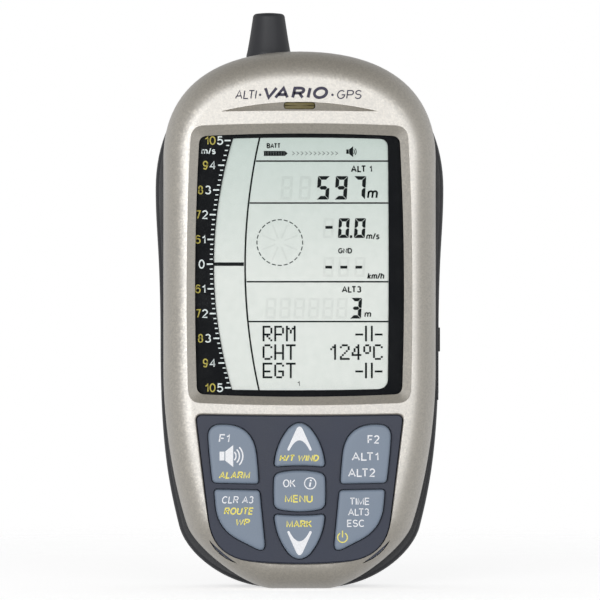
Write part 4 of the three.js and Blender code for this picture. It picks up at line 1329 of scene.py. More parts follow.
@dataclass
class Shells:
    """The painted front shell and the dark rear shell."""

    finishes: Finishes
    front_depths: tuple[float, float, float] = (-5.0, -9.0, -18.8)
    front_roll: float = 9.5
    rear_depths: tuple[float, float, float] = (-4.0, 10.5, 19.4)
    rear_roll: float = 10.0
    wall: float = 2.2
    lip: float = 0.55
    scoop_depth: float = 1.2
    window: Panel = Panel(
        (
            Corner(-33.7, 64.2, 2.6, 0.9),
            Corner(33.7, 64.2, 2.6, 1.0),
            Corner(32.9, 148.9, 2.6, 0.9),
            Corner(-32.9, 148.9, 2.6, 1.0),
        )
    )
    bevel_edge: Panel = Panel(
        (
            Corner(-36.3, 61.8, 4, 0.9),
            Corner(36.3, 61.8, 4, 1.1),
            Corner(35.3, 151.8, 4, 0.9),
            Corner(-35.3, 151.8, 4, 1.1),
        )
    )
    keypad_opening: Panel = Panel(
        (
            Corner(-28.6, 10.9, 12, 2.5),
            Corner(28.6, 10.9, 12, 0),
            Corner(34.3, 57.6, 2.6, -0.4),
            Corner(-34.3, 57.6, 2.6, 0),
        )
    )
    indicator: Panel = Panel(
        (
            Corner(-5.2, 157.7, 1.1),
            Corner(5.2, 157.7, 1.1),
            Corner(5.2, 160.1, 1.1),
            Corner(-5.2, 160.1, 1.1),
        )
    )

    def front(self) -> bpy.types.Object:
        """Builds the front shell with its screen recess, keypad opening, scoop and slot."""
        start, turn, face = self.front_depths
        outline = half_outline(RIGHT_FRONT, FOOT_HALF)
        skin = rolled_skin(
            "front_case", outline, self.front_depths, self.front_roll, (0.35, 0.5), self.finishes.lacquer
        )
        cavity_profile = (
            (self.wall, start + 3),
            (self.wall, turn),
            (2.6, -11.2),
            (3.4, -13.2),
            (4.9, -15.0),
            (7.0, -16.1),
            (9.2, face + self.wall),
        )
        cavity = loft("cavity", [(inset(outline, d), y) for d, y in cavity_profile])
        carve(skin, Cut.REMOVE, cavity)
        carve(skin, Cut.REMOVE, self._screen_recess(face), self._keypad_cutter(face))
        carve(skin, Cut.REMOVE, self._scoop(face))
        carve(skin, Cut.REMOVE, plate("slot", self.indicator.loop(4, 6), face - 1, face + 4))
        smooth(skin, 34)
        nodes = ("front_shell",)
        return settle(skin, Body.HOUSING, nodes, self.finishes.lacquer)

    def _lip_levels(self, edge: Panel, face: float, sweep: float) -> list[Level]:
        """The levels of a lip that rolls inwards by an angle."""
        lip = self.lip
        levels = [(edge.offset(-lip).loop(), face - 1)]
        for k in range(7):
            turn = sweep * k / 6
            out = lip * (1 - math.sin(turn) / math.sin(sweep))
            levels.append((edge.offset(-out).loop(), face + lip * (1 - math.cos(turn))))
        return levels

    def _screen_recess(self, face: float) -> bpy.types.Object:
        """The cutter for the screen: a rounded lip, a bevel and a straight throat."""
        levels = self._lip_levels(self.bevel_edge, face, math.radians(56))
        levels += [(self.window.loop(), face + 1.95), (self.window.loop(), face + 6)]
        return loft("screen_recess", levels)

    def _keypad_cutter(self, face: float) -> bpy.types.Object:
        """The cutter for the keypad: a rounded lip and a straight throat."""
        levels = self._lip_levels(self.keypad_opening, face, math.pi / 2)
        wide = self.keypad_opening.offset(-1.5)
        levels += [(self.keypad_opening.loop(), face + 2.2), (wide.loop(), face + 2.2001)]
        levels.append((wide.loop(), face + 7))
        return loft("keypad_opening", levels)

    def _scoop(self, face: float) -> bpy.types.Object:
        """The cutter for the crescent above the screen, deepest under its arc."""
        half, chord, rise, columns, rows = 25.8, 157.0, 3.1, 61, 9
        points, faces = [], []
        for i in range(columns):
            x = half * (2 * i / (columns - 1) - 1) * 0.9999
            high = rise * max(0.0, 1 - (x / half) ** 2)
            for j in range(rows):
                share = j / (rows - 1)
                hollow = self.scoop_depth * share**0.9 * math.sqrt(high / rise)
                points.append((x, face + hollow - 0.002, chord + high * share))
        front = len(points)
        points += [(x, face - 1, z) for x, _, z in points]
        for i in range(columns - 1):
            for j in range(rows - 1):
                a = i * rows + j
                quad = [a, a + rows, a + rows + 1, a + 1]
                faces += [quad, [front + k for k in reversed(quad)]]
        rim = [i * rows for i in range(columns)]
        rim += [(columns - 1) * rows + j for j in range(1, rows)]
        rim += [i * rows + rows - 1 for i in range(columns - 2, -1, -1)]
        rim += [j for j in range(rows - 2, 0, -1)]
        for a, b in zip(rim, rim[1:] + rim[:1]):
            faces.append([a, b, front + b, front + a])
        return solid("scoop", np.array(points), faces)

    def rear_skin(self, name: str) -> bpy.types.Object:
        """The rear shell's closed outer form, which the battery door is also cut from."""
        outline = half_outline(RIGHT_REAR, FOOT_HALF)
        rim, dark = (1.5, 2.6), self.finishes.dark
        return rolled_skin(name, outline, self.rear_depths, self.rear_roll, rim, dark)

    def rear(self) -> bpy.types.Object:
        """Builds the rear shell with all its openings."""
        start, _, back = self.rear_depths
        outline = half_outline(RIGHT_FRONT, FOOT_HALF)
        cavity_profile = (
            (2.4, start - 1),
            (2.4, 10.0),
            (3.2, 12.8),
            (5.0, 15.2),
            (8.0, 16.9),
            (12.0, back - 2),
        )
        skin = self.rear_skin("rear_case")
        carve(skin, Cut.REMOVE, loft("cavity", [(inset(outline, d), y) for d, y in cavity_profile]))
        adds = [block("bay_walls", (38.4, 46), (-3, 12), (62, 102))]
        for x, z in both_sides(Fasteners.case_places):
            adds.append(rod("boss", 4.2, (start, 16.5), (x, 0, z), "Y", 32))
        for x, z in Fasteners.insert_places:
            adds.append(rod("boss", 4.6, (10.5, 18), (x, 0, z), "Y", 32))
        pad = box_panel(-22, 117, 22, 141, 2.5)
        levels = [(pad, 18.4), (pad, 19.75), (pad.offset(0.08), 19.9), (pad.offset(0.25), 20.0)]
        adds.append(loft("pad", [(panel.loop(4, 8), y) for panel, y in levels]))
        carve(skin, Cut.ADD, *adds)
        cuts = [
            block("door_room", (-30.3, 30.3), (14.2, 30), (-5, 80.3)),
            block("rail_room", (-32, 32), (16.1, 17.45), (-5, 80.3)),
            rod("antenna_flange", 9.4, (150, 171.6), Antenna.place),
            rod("antenna_bore", 7.8, (160, 185), Antenna.place),
            block("bay", (44.2, 60), (-1.3, 10.3), (63.7, 100.3)),
            rod("charging_hole", 3.5, (30, 50), (0, 4.5, 72), "X", 40),
            rod("sensor_hole", 3.5, (30, 50), (0, 4.5, 93), "X", 40),
            block("data_hole", (30, 50), (2.2, 6.8), (78.7, 87.3)),
        ]
        cuts += [self._speaker_slot(row) for row in range(-3, 4)]
        for x, z in both_sides(Fasteners.case_places):
            cuts.append(self._screw_well(x, z))
        for x, z in Fasteners.insert_places:
            cuts.append(rod("insert_bore", 3.1, (12, 25), (x, 0, z), "Y", 40))
        carve(skin, Cut.REMOVE, *cuts)
        spans = ((62.5, 66), (98, 101.5))
        pins = [rod("pin", 0.35, span, (*SocketBay.hinge, 0), "Z", 16) for span in spans]
        carve(skin, Cut.ADD, *pins)
        return settle(smooth(skin, 30), Body.HOUSING, ("rear_shell",), self.finishes.dark)

    @staticmethod
    def _screw_well(x: float, z: float) -> bpy.types.Object:
        """The cutter for a case screw: its shank hole and a counterbore with a broken edge."""
        shank = [(0, -6), (1.5, -6), (1.5, 14.6)]
        head = [(2.9, 14.6), (2.9, 19), (3.4, 19.5), (3.4, 25), (0, 25)]
        return revolve("screw_well", [*shank, *head], (x, 0, z), "Y", 40)

    @staticmethod
    def _speaker_slot(row: int) -> bpy.types.Object:
        """The cutter for one sound slot, with round ends."""
        half = math.sqrt(100 - (row * 2.9) ** 2)
        height = 97 + row * 2.9
        outline = box_panel(-half, height - 0.7, half, height + 0.7, 0.68)
        wide = outline.offset(-0.25)
        levels = ((outline, 16.4), (outline, 19.1), (wide, 19.41), (wide, 20.4))
        return loft("sound_slot", [(panel.loop(4, 5), y) for panel, y in levels])

    def title(self) -> bpy.types.Object:
        """Prints what the instrument does above the scoop."""
        _, _, face = self.front_depths
        art = Artwork(face - 0.03, face + 0.05)
        art.letters("ALTI", (-21.2, 161.0, -13.9, 164.0), 0.4, 0.12)
        art.letters("VARIO", (-11.7, 161.0, 9.4, 165.1), 0.98, 0.14)
        art.letters("GPS", (12.3, 161.0, 20.4, 164.0), 0.4, 0.12)
        for x in (-12.9, 10.8):
            art.ring((x, 162.4), 0.22, 0.4)
        return settle(art.build("title_print", self.finishes.dark_ink), Body.HOUSING)

    def build(self) -> None:
        """Builds the shells and what is printed on them."""
        self.front()
        self.title()
        self.rear()
        dress(self.finishes.rubber, "case_seal")
        dress(self.finishes.olive, "indicator_lens")


@dataclass
class Screen:
    """The lens, the climb scale's mask and the liquid-crystal panel with what it shows."""

    finishes: Finishes
    shells: Shells
    mask_depths: Point = (-14.5, -14.2)
    crystal_front: float = -13.9
    crystal_print: Point = (-13.99, -13.93)
    zero_z: float = 106.9
    scale_step: float = 8.13
    compass: Point = (-6.5, 114.0)
    view: Panel = Panel(
        (
            Corner(-22.2, 65.6, 0.4, 0.3),
            Corner(29, 65.9, 3.4, 0.3),
            Corner(29, 148, 2.8, 0.4),
            Corner(-21.9, 148.2, 0.4, 6.1),
        )
    )

    @staticmethod
    def _print(art: Artwork, name: str, ink: bpy.types.Material) -> None:
        """Makes a finished drawing one printed piece of the screen."""
        settle(art.build(name, ink), Body.HOUSING)

    def mask(self) -> bpy.types.Object:
        """Builds the black film behind the lens, open over the crystal panel."""
        front, back = self.mask_depths
        film = plate("scale_film", self.shells.window.offset(-1.4).loop(), front, back)
        carve(film, Cut.REMOVE, plate("view", self.view.loop(30, 9), -20, 0))
        return settle(film, Body.HOUSING, ("scale_mask",), self.finishes.mask)

    def scale_x(self, z: float) -> float:
        """Where the climb scale's arc runs at a height."""
        half, deep = 41.3, 6.1
        return -22.05 - deep * (1 - ((z - 107.1) / half) ** 2) - 0.35

    def scale(self) -> None:
        """Prints the climb scale: ticks along the arc, and its yellow and white numbers."""
        front = self.mask_depths[0]
        places, sizes = [], []
        parts, top = 5, 5
        for i in range(-parts * top, parts * top + 1):
            z = self.zero_z + i * self.scale_step / parts
            major = i % parts == 0
            length = 2.0 if major else 1.0
            places.append((self.scale_x(z) - length / 2, front - 0.02, z))
            sizes.append((length, 1.0, 0.5 if major else 0.36))
        tick = block("tick", (-0.5, 0.5), (-0.02, 0.02), (-0.5, 0.5), 0.004)
        ticks = repeat_on_points("scale_ticks", tick, places, self.finishes.white_ink, None, sizes)
        settle(ticks, Body.HOUSING)
        white = Artwork(front - 0.04, front)
        yellow = Artwork(front - 0.04, front)
        marks = {
            1: ((-34.4, -32.5), (-32.1, -30.9), "6", "1"),
            2: ((-34.1, -32.5), (-32.1, -30.1), "7", "2"),
            3: ((-33.4, -31.7), (-31.1, -29.1), "8", "3"),
            4: ((-31.8, -30.1), (-29.6, -27.5), "9", "4"),
            5: ((-31.1, -27.6), (-27.2, -25.1), "10", "5"),
        }
        for sign in (1, -1):
            for i, (outer, inner, left, right) in marks.items():
                z = self.zero_z + sign * i * self.scale_step
                yellow.letters(left, (outer[0], z - 1.45, outer[1], z + 1.45), 0.4)
                white.letters(right, (inner[0], z - 1.45, inner[1], z + 1.45), 0.44)
        white.letters("0", (-33.2, self.zero_z - 1.5, -31.2, self.zero_z + 1.5), 0.44)
        white.letters("m/s", (-32.3, 143.0, -27.6, 145.2), 0.38)
        self._print(white, "scale_numbers_white", self.finishes.white_ink)
        self._print(yellow, "scale_numbers_yellow", self.finishes.scale_yellow)

    def readings(self) -> None:
        """Draws what the crystal panel shows."""
        art = Artwork(*self.crystal_print)
        self._frame_lines(art)
        self._status_row(art)
        self._altitudes(art)
        self._speeds(art)
        self._print(art, "crystal_segments", self.finishes.segment_ink)
        self._matrix()
        self._resting()

    def _frame_lines(self, art: Artwork) -> None:
        """The dividers, the inner arc and the zero bar."""
        inner = [(-13.1, 148.6), (-17.9, 106.9), (-13.3, 65.3)]
        a, b, c = (np.array(p) for p in inner)
        handle = 2 * b - (a + c) / 2
        art.stroke(quadratic(a, handle, c, np.linspace(0, 1, 40)), 0.55)
        for z, left in ((140.8, -14.3), (127.0, -16.4), (101.1, -17.4), (88.0, -16.9)):
            art.stroke([(left, z), (29.2, z)], 0.5)
        art.stroke([(-28.9, self.zero_z), (-18.3, self.zero_z)], 1.15)

    def _status_row(self, art: Artwork) -> None:
        """The battery gauge and the speaker sign."""
        art.letters("BATT", (-10.8, 145.0, -6.2, 146.7), 0.36)
        for i in range(13):
            x = -11.7 + i * 0.53
            art.shape([(x, 142.55), (x + 0.48, 142.55), (x + 0.48, 144.1), (x, 144.1)])
        art.stroke([(-11.75, 142.6), (-4.8, 142.6)], 0.16)
        art.stroke([(-11.75, 144.05), (-4.8, 144.05)], 0.16)
        art.shape([(-4.8, 142.5), (-3.9, 143.3), (-4.8, 144.15)])
        sound_sign(art, (15.4, 143.9), 3.6, 2)

    def _altitudes(self, art: Artwork) -> None:
        """The upper altitude, and the lower one with its label."""
        big = SegmentDigit(4.0, 7.7, 1.2)
        art.letters("ALT 1", (16.9, 137.1, 23.9, 139.4), 0.46)
        for sign, x in (("5", 5.6), ("9", 11.5), ("7", 17.5)):
            big.draw(art, sign, x, 128.15)
        art.letters("m", (22.2, 128.4, 25.8, 131.2), 0.62, 0.12)
        small = SegmentDigit(3.6, 6.8, 1.12)
        art.letters("ALT3", (13.9, 97.5, 20.3, 99.7), 0.44)
        small.draw(art, "3", 16.6, 89.0)
        art.letters("m", (21.3, 89.4, 23.6, 91.1), 0.42, 0.12)

    def _speeds(self, art: Artwork) -> None:
        """The climb rate and the ground speed."""
        middle = SegmentDigit(3.55, 6.5, 1.08)
        art.stroke([(8.5, 119.0), (10.9, 119.0)], 0.95)
        middle.draw(art, "0", 12.6, 115.5)
        art.shape([(16.55, 115.5), (17.35, 115.5), (17.35, 116.4), (16.55, 116.4)])
        middle.draw(art, "0", 17.9, 115.5)
        art.letters("m/s", (21.9, 115.0, 26.3, 117.2), 0.4, 0.1)
        art.letters("GND", (12.7, 110.3, 17.3, 112.2), 0.38)
        for x0, x1 in ((8.5, 10.7), (13.4, 15.7), (18.4, 20.6)):
            art.stroke([(x0, 105.9), (x1, 105.9)], 0.9)
        art.letters("km/h", (22.3, 101.9, 27.9, 104.1), 0.42, 0.15)

    def _matrix(self) -> None:
        """The dot-matrix rows, one small square a lit dot."""
        pitch = 0.64
        rows = {
            81.5: (("RPM", -12.15), ("=", 18.35)),
            75.4: (("CHT", -12.15), ("124oC", 10.1)),
            69.35: (("EGT", -12.15), ("=", 18.35)),
        }
        places = []
        for foot, words in rows.items():
            for word, left in words:
                for sign in word:
                    lines = DOTS[sign].split()
                    for down, line in enumerate(lines):
                        for across, lit in enumerate(line):
                            if lit == "1":
                                x = left + (across + 0.5) * pitch
                                z = foot + (len(lines) - 1 - down + 0.5) * pitch
                                places.append((x, self.crystal_front - 0.06, z))
                    left += (len(lines[0]) + 1) * pitch
        side = pitch * 0.497
        dot = block("dot", (-side, side), (-0.03, 0.03), (-side, side))
        dots = repeat_on_points("crystal_matrix", dot, places, self.finishes.segment_ink)
        settle(dots, Body.HOUSING)
        art = Artwork(*self.crystal_print)
        art.letters("1", (-0.7, 66.8, 0.1, 68.4), 0.26)
        self._print(art, "crystal_page", self.finishes.segment_ink)

    def _resting(self) -> None:
        """The segments that are off, which still show faintly, and the compass ring."""
        art = Artwork(self.crystal_front - 0.075, self.crystal_front - 0.03)
        big, middle = SegmentDigit(3.75, 7.7, 0.9), SegmentDigit(3.45, 6.5, 0.8)
        small = SegmentDigit(3.5, 6.8, 0.8)
        for x in (-6.3, -0.3):
            big.draw(art, "8", x, 128.15)
        middle.draw(art, "8", 7.6, 115.5)
        for x in (7.6, 12.6, 17.9):
            middle.draw(art, "8", x, 102.7)
        for x in (-11.4, -6.7, -2.0, 2.7, 7.4, 12.0):
            small.draw(art, "8", x, 89.0)
        x, z = self.compass
        for i in range(8):
            turn = math.radians(45 * i + 22)
            near, far = ((x + r * math.cos(turn), z + r * math.sin(turn)) for r in (1.6, 6.2))
            art.stroke([near, far], 0.5)
        self._print(art, "crystal_resting", self.finishes.resting)
        count, radius = 24, 7.5
        turns = [2 * math.pi * i / count for i in range(count)]
        depth = self.crystal_front - 0.06
        places = [(x + radius * math.cos(t), depth, z + radius * math.sin(t)) for t in turns]
        dash = block("dash", (-0.17, 0.17), (-0.03, 0.03), (-0.66, 0.66))
        chevrons = Artwork(*self.crystal_print)
        for i in range(11):
            left = -2.4 + i * 1.42
            chevrons.stroke([(left, 142.75), (left + 0.75, 143.35), (left, 143.95)], 0.15)
        self._print(chevrons, "crystal_chevrons", self.finishes.compass_ink)
        ring = repeat_on_points(
            "crystal_compass", dash, places, self.finishes.compass_ink, [-t for t in turns]
        )
        settle(ring, Body.HOUSING)

    def build(self) -> None:
        """Builds the screen from front to back."""
        self.mask()
        self.scale()
        self.readings()
        dress(self.finishes.cover, "screen_lens")
        dress(self.finishes.crystal, "lcd_panel")
        dress(self.finishes.rubber, "lens_gasket")
        dress(self.finishes.white, "lcd_backlight", "lcd_frame")


def sound_sign(art: Artwork, place: Point, height: float, waves: int) -> None:
    """Adds a loudspeaker sign with sound waves.

    Args:
        art: The print.
        place: The sign's left edge and middle height.
        height: Height of its cone.
        waves: How many waves it gives off.
    """
    x, z = place
    h = height / 2
    magnet = ((0, -0.4), (0.44, -0.4), (0.44, 0.4), (0, 0.4))
    cone = ((0.52, -0.42), (1.24, -1), (1.24, 1), (0.52, 0.42))
    for outline in (magnet, cone):
        art.shape([(x + h * u, z + h * v) for u, v in outline])
    for i in range(waves):
        art.arc((x + h * 0.95, z), h * (0.55 + 0.31 * i), -44, 44, h * 0.13)


def arrow_head(foot: Point, width: float, height: float) -> Loop:
    """An arrow head's outline, hollowed out from below by a curve.

    Args:
        foot: The middle between its two points.
        width: Distance between them.
        height: How far up its tip is, and negative to point down.

    Returns:
        The outline.
    """
    tip_bow = np.array(((-0.12, 0.88), (0.0, 1.05), (0.12, 0.88)))
    foot_bow = np.array(((0.42, -0.02), (0.0, 0.82), (-0.42, -0.02)))
    tip = quadratic(*tip_bow, np.linspace(0, 1, 9))
    hollow = quadratic(*foot_bow, np.linspace(0, 1, 17))
    right, left = [(0.5, 0.04), (0.48, -0.02)], [(-0.48, -0.02), (-0.5, 0.04)]
    outline = np.concatenate((tip, right, hollow, left))
    return outline * (width, height) + foot


@dataclass(frozen=True)
class KeyPlan:
    """One key: its node, body, outline and the middle of its plunger."""

    node: str
    body: Body
    outline: Panel
    plunger: Point


UPPER_LEFT = Panel(
    (
        Corner(-28.5, 35.1, 1.4),
        Corner(-13.4, 34.8, 1.3, 0.3),
        Corner(-15.5, 54.4, 9.6),
        Corner(-30.2, 54.2, 4.4, 0.2),
    )
)
LOWER_LEFT = Panel(
    (Corner(-27, 20, 8), Corner(-11.1, 11.9, 3.8), Corner(-13.1, 32.7, 1.3), Corner(-28, 33, 1.3))
)
UP = Panel((Corner(-8.3, 40.3, 1.4, -0.5), Corner(8.3, 40.3, 1.4, 2.1), Corner(0, 56.4, 4.6, 2.1)))
MENU = Panel(
    (
        Corner(-8.3, 26.8, 2, 1.1),
        Corner(8.3, 26.8, 2, 0.2),
        Corner(8.3, 38.1, 2, 1.1),
        Corner(-8.3, 38.1, 2, 0.2),
    )
)
DOWN = Panel((Corner(0, 8.5, 4.6, 2.1), Corner(8.3, 24.9, 1.4, -0.5), Corner(-8.3, 24.9, 1.4, 2.1)))
KEYS = (
    KeyPlan("key_alarm", Body.ALARM, UPPER_LEFT, (-21.5, 43.5)),
    KeyPlan("key_up", Body.UP, UP, (0, 46.5)),
    KeyPlan("key_altitude", Body.ALTITUDE, UPPER_LEFT.mirrored(), (21.5, 43.5)),
    KeyPlan("key_route", Body.ROUTE, LOWER_LEFT, (-19.5, 24.5)),
    KeyPlan("key_menu", Body.MENU, MENU, (0, 32.4)),
    KeyPlan("key_down", Body.DOWN, DOWN, (0, 18.6)),
    KeyPlan("key_power", Body.POWER, LOWER_LEFT.mirrored(), (19.5, 24.5)),
)


@dataclass
class Keypad:
    """The slate panel, the seven keys with their legends, the mat and the domes."""

    finishes: Finishes
    opening: Panel
    panel_depths: tuple[float, float, float] = (-17.8, -16.3, -15.1)
    key_front: float = -19.86
    shoulder: float = 0.95
    clearance: float = 0.2
    legend: Point = (-19.9, -19.7)

    def panel(self) -> bpy.types.Object:
        """Builds the panel round the keys."""
        front, flange, back = self.panel_depths
        edge = self.opening.offset(0.3)
        levels = [
            (edge.offset(0.3).loop(), front),
            (edge.offset(0.08).loop(), front + 0.09),
            (edge.loop(), front + 0.3),
            (edge.loop(), flange),
            (self.opening.offset(-1.2).loop(), flange + 0.0001),
            (self.opening.offset(-1.2).loop(), back),
        ]
        panel = loft("keypad_bezel", levels)
        holes = []
        for plan in KEYS:
            hole = plan.outline.offset(-self.clearance)
            levels = [
                (hole.offset(-0.15).loop(), front - 1),
                (hole.offset(-0.15).loop(), front),
                (hole.offset(-0.05).loop(), front + 0.06),
                (hole.loop(), front + 0.16),
                (hole.loop(), back + 1),
            ]
            holes.append(loft("key_hole", levels))
        carve(panel, Cut.REMOVE, *holes)
        smooth(panel)
        nodes = ("keypad_panel",)
        return settle(panel, Body.HOUSING, nodes, self.finishes.panel)

    def key(self, plan: KeyPlan) -> bpy.types.Object:
        """Builds a key: a cap with a round shoulder and a faint crown, a flange and a plunger."""
        face, r = self.key_front, self.shoulder
        crown, brow = plan.outline.offset(r * 2.6), plan.outline.offset(r * 1.7)
        top = [(crown.loop(), face), (brow.loop(), face + 0.02)]
        for k in range(7):
            turn = math.radians(8) + (math.pi / 2 - math.radians(8)) * k / 6
            rim = plan.outline.offset(r * (1 - math.sin(turn)))
            top.append((rim.loop(), face + 0.06 + r * (1 - math.cos(turn))))
        flange = plan.outline.offset(-0.65)
        levels = [*top, (plan.outline.loop(), -14.8), (flange.loop(), -14.7999), (flange.loop(), -13.8)]
        cap = loft(plan.node.replace("key", "button"), levels)
        x, z = plan.plunger
        profile = [(0, -14.2), (3, -14.2), (3, -12.1), (2.7, -11.8), (0, -11.8)]
        carve(cap, Cut.ADD, revolve("plunger", profile, (x, 0, z), "Y", 40))
        return settle(smooth(cap, 40), plan.body, (plan.node,), self.finishes.key)

    def legends(self) -> None:
        """Prints every key's legend in its colour."""
        yellow, white = self.finishes.yellow_ink, self.finishes.white_ink
        lean = 0.18
        words = {
            (Body.ALARM, "yellow"): [("ALARM", (-26.5, 36.5, -16.0, 38.9), 0.46, lean)],
            (Body.ALARM, "white"): [("F1", (-26.5, 48.4, -22.7, 51.15), 0.44, 0.12)],
            (Body.UP, "yellow"): [("H/T WIND", (-6.6, 42.1, 6.4, 44.4), 0.46, lean)],
            (Body.ALTITUDE, "white"): [
                ("F2", (22.3, 48, 26.2, 50.8), 0.44, 0.0),
                ("ALT1", (17.1, 42.4, 25.9, 45.2), 0.44, 0.0),
                ("ALT2", (15.9, 37.1, 24.8, 39.9), 0.44, 0.0),
            ],
            (Body.ROUTE, "white"): [("CLR A3", (-25.4, 28.4, -15.1, 30.8), 0.34, 0.14)],
            (Body.ROUTE, "yellow"): [
                ("ROUTE", (-24.8, 24.7, -14.9, 27.1), 0.44, lean),
                ("WP", (-20.8, 21.1, -16.2, 23.4), 0.44, lean),
            ],
            (Body.MENU, "white"): [("OK", (-5.4, 33.7, -1.3, 36.3), 0.36, 0.0)],
            (Body.MENU, "yellow"): [("MENU", (-4.8, 28.7, 4.3, 31.2), 0.44, 0.0)],
            (Body.DOWN, "yellow"): [("MARK", (-4.3, 20.5, 4.1, 22.9), 0.44, 0.0)],
            (Body.POWER, "white"): [
                ("TIME", (16.4, 27.9, 23, 30.3), 0.34, 0.0),
                ("ALT3", (15.9, 24.4, 22.8, 26.8), 0.34, 0.0),
                ("ESC", (15.6, 20.7, 21.2, 23.1), 0.34, 0.0),
            ],
            (Body.POWER, "yellow"): [],
            (Body.DOWN, "white"): [],
            (Body.UP, "white"): [],
        }
        for (body, colour), lines in words.items():
            art = Artwork(*self.legend)
            for text, box, weight, slant in lines:
                art.letters(text, box, weight, slant)
            self._signs(art, body, colour)
            ink = yellow if colour == "yellow" else white
            piece = art.build(f"legend_{body.value}_{colour}", ink)
            settle(piece, body)

    @staticmethod
    def _signs(art: Artwork, body: Body, colour: str) -> None:
        """Adds the drawn signs of a key to its print."""
        if (body, colour) == (Body.ALARM, "white"):
            sound_sign(art, (-26.2, 43.95), 7.2, 3)
        if (body, colour) == (Body.UP, "white"):
            art.shape(arrow_head((0, 45.9), 8.0, 8.0))
        if (body, colour) == (Body.DOWN, "white"):
            art.shape(arrow_head((0, 19.2), 8.0, -8.0))
        if (body, colour) == (Body.MENU, "white"):
            art.ring((3.5, 35.0), 1.85, 0.34)
            art.stroke([(3.3, 33.9), (3.6, 35.3)], 0.55)
            art.stroke([(3.68, 35.7), (3.78, 36.2)], 0.55)
        if (body, colour) == (Body.POWER, "yellow"):
            art.arc((14.1, 17.25), 1.6, 120, 420, 0.36)
            art.stroke([(14.1, 17.3), (14.1, 19.5)], 0.36)

    def build(self) -> None:
        """Builds the keypad."""
        self.panel()
        for plan in KEYS:
            self.key(plan)
        self.legends()
        dress(self.finishes.key, "keypad_mat")
        dress(self.finishes.spring, "dome_sheet")


@dataclass
class Antenna:
    """The stub antenna on the top end."""

    finishes: Finishes
    place: tuple[float, float, float] = (-10.2, 5.5, 0.0)

    def build(self) -> None:
        """Builds the cap: a foot under the shell, a straight root and a gently tapered stub."""
        root, tip, top = 7.5, 5.35, 190.6
        taper, brow = 176.4, top - 1.7
        side = [
            (root - (root - tip) * t**0.85, taper + (brow - taper) * t)
            for t in np.linspace(0, 1, 12)
        ]
        crown = [
            (tip - 1.3 * (1 - math.cos(a)), brow + 1.45 * math.sin(a))
            for a in np.linspace(0.2, math.pi / 2, 8)
        ]
        profile = [(9, 169), (9, 170.3), (root, 170.3), *side, *crown, (2.2, top - 0.06)]
        profile += [(0, top), (0, 188.9), (3.6, 188.7), (6.1, taper), (6.1, 169), (9, 169)]
        cap = revolve("antenna_stub", profile, self.place, "Z", 96)
        settle(smooth(cap, 40), Body.HOUSING, ("antenna_cap",), self.finishes.dark)
        dress(self.finishes.white, "antenna_element")
        dress(self.finishes.rubber, "antenna_seal")
        dress(self.finishes.black, "antenna_lead")


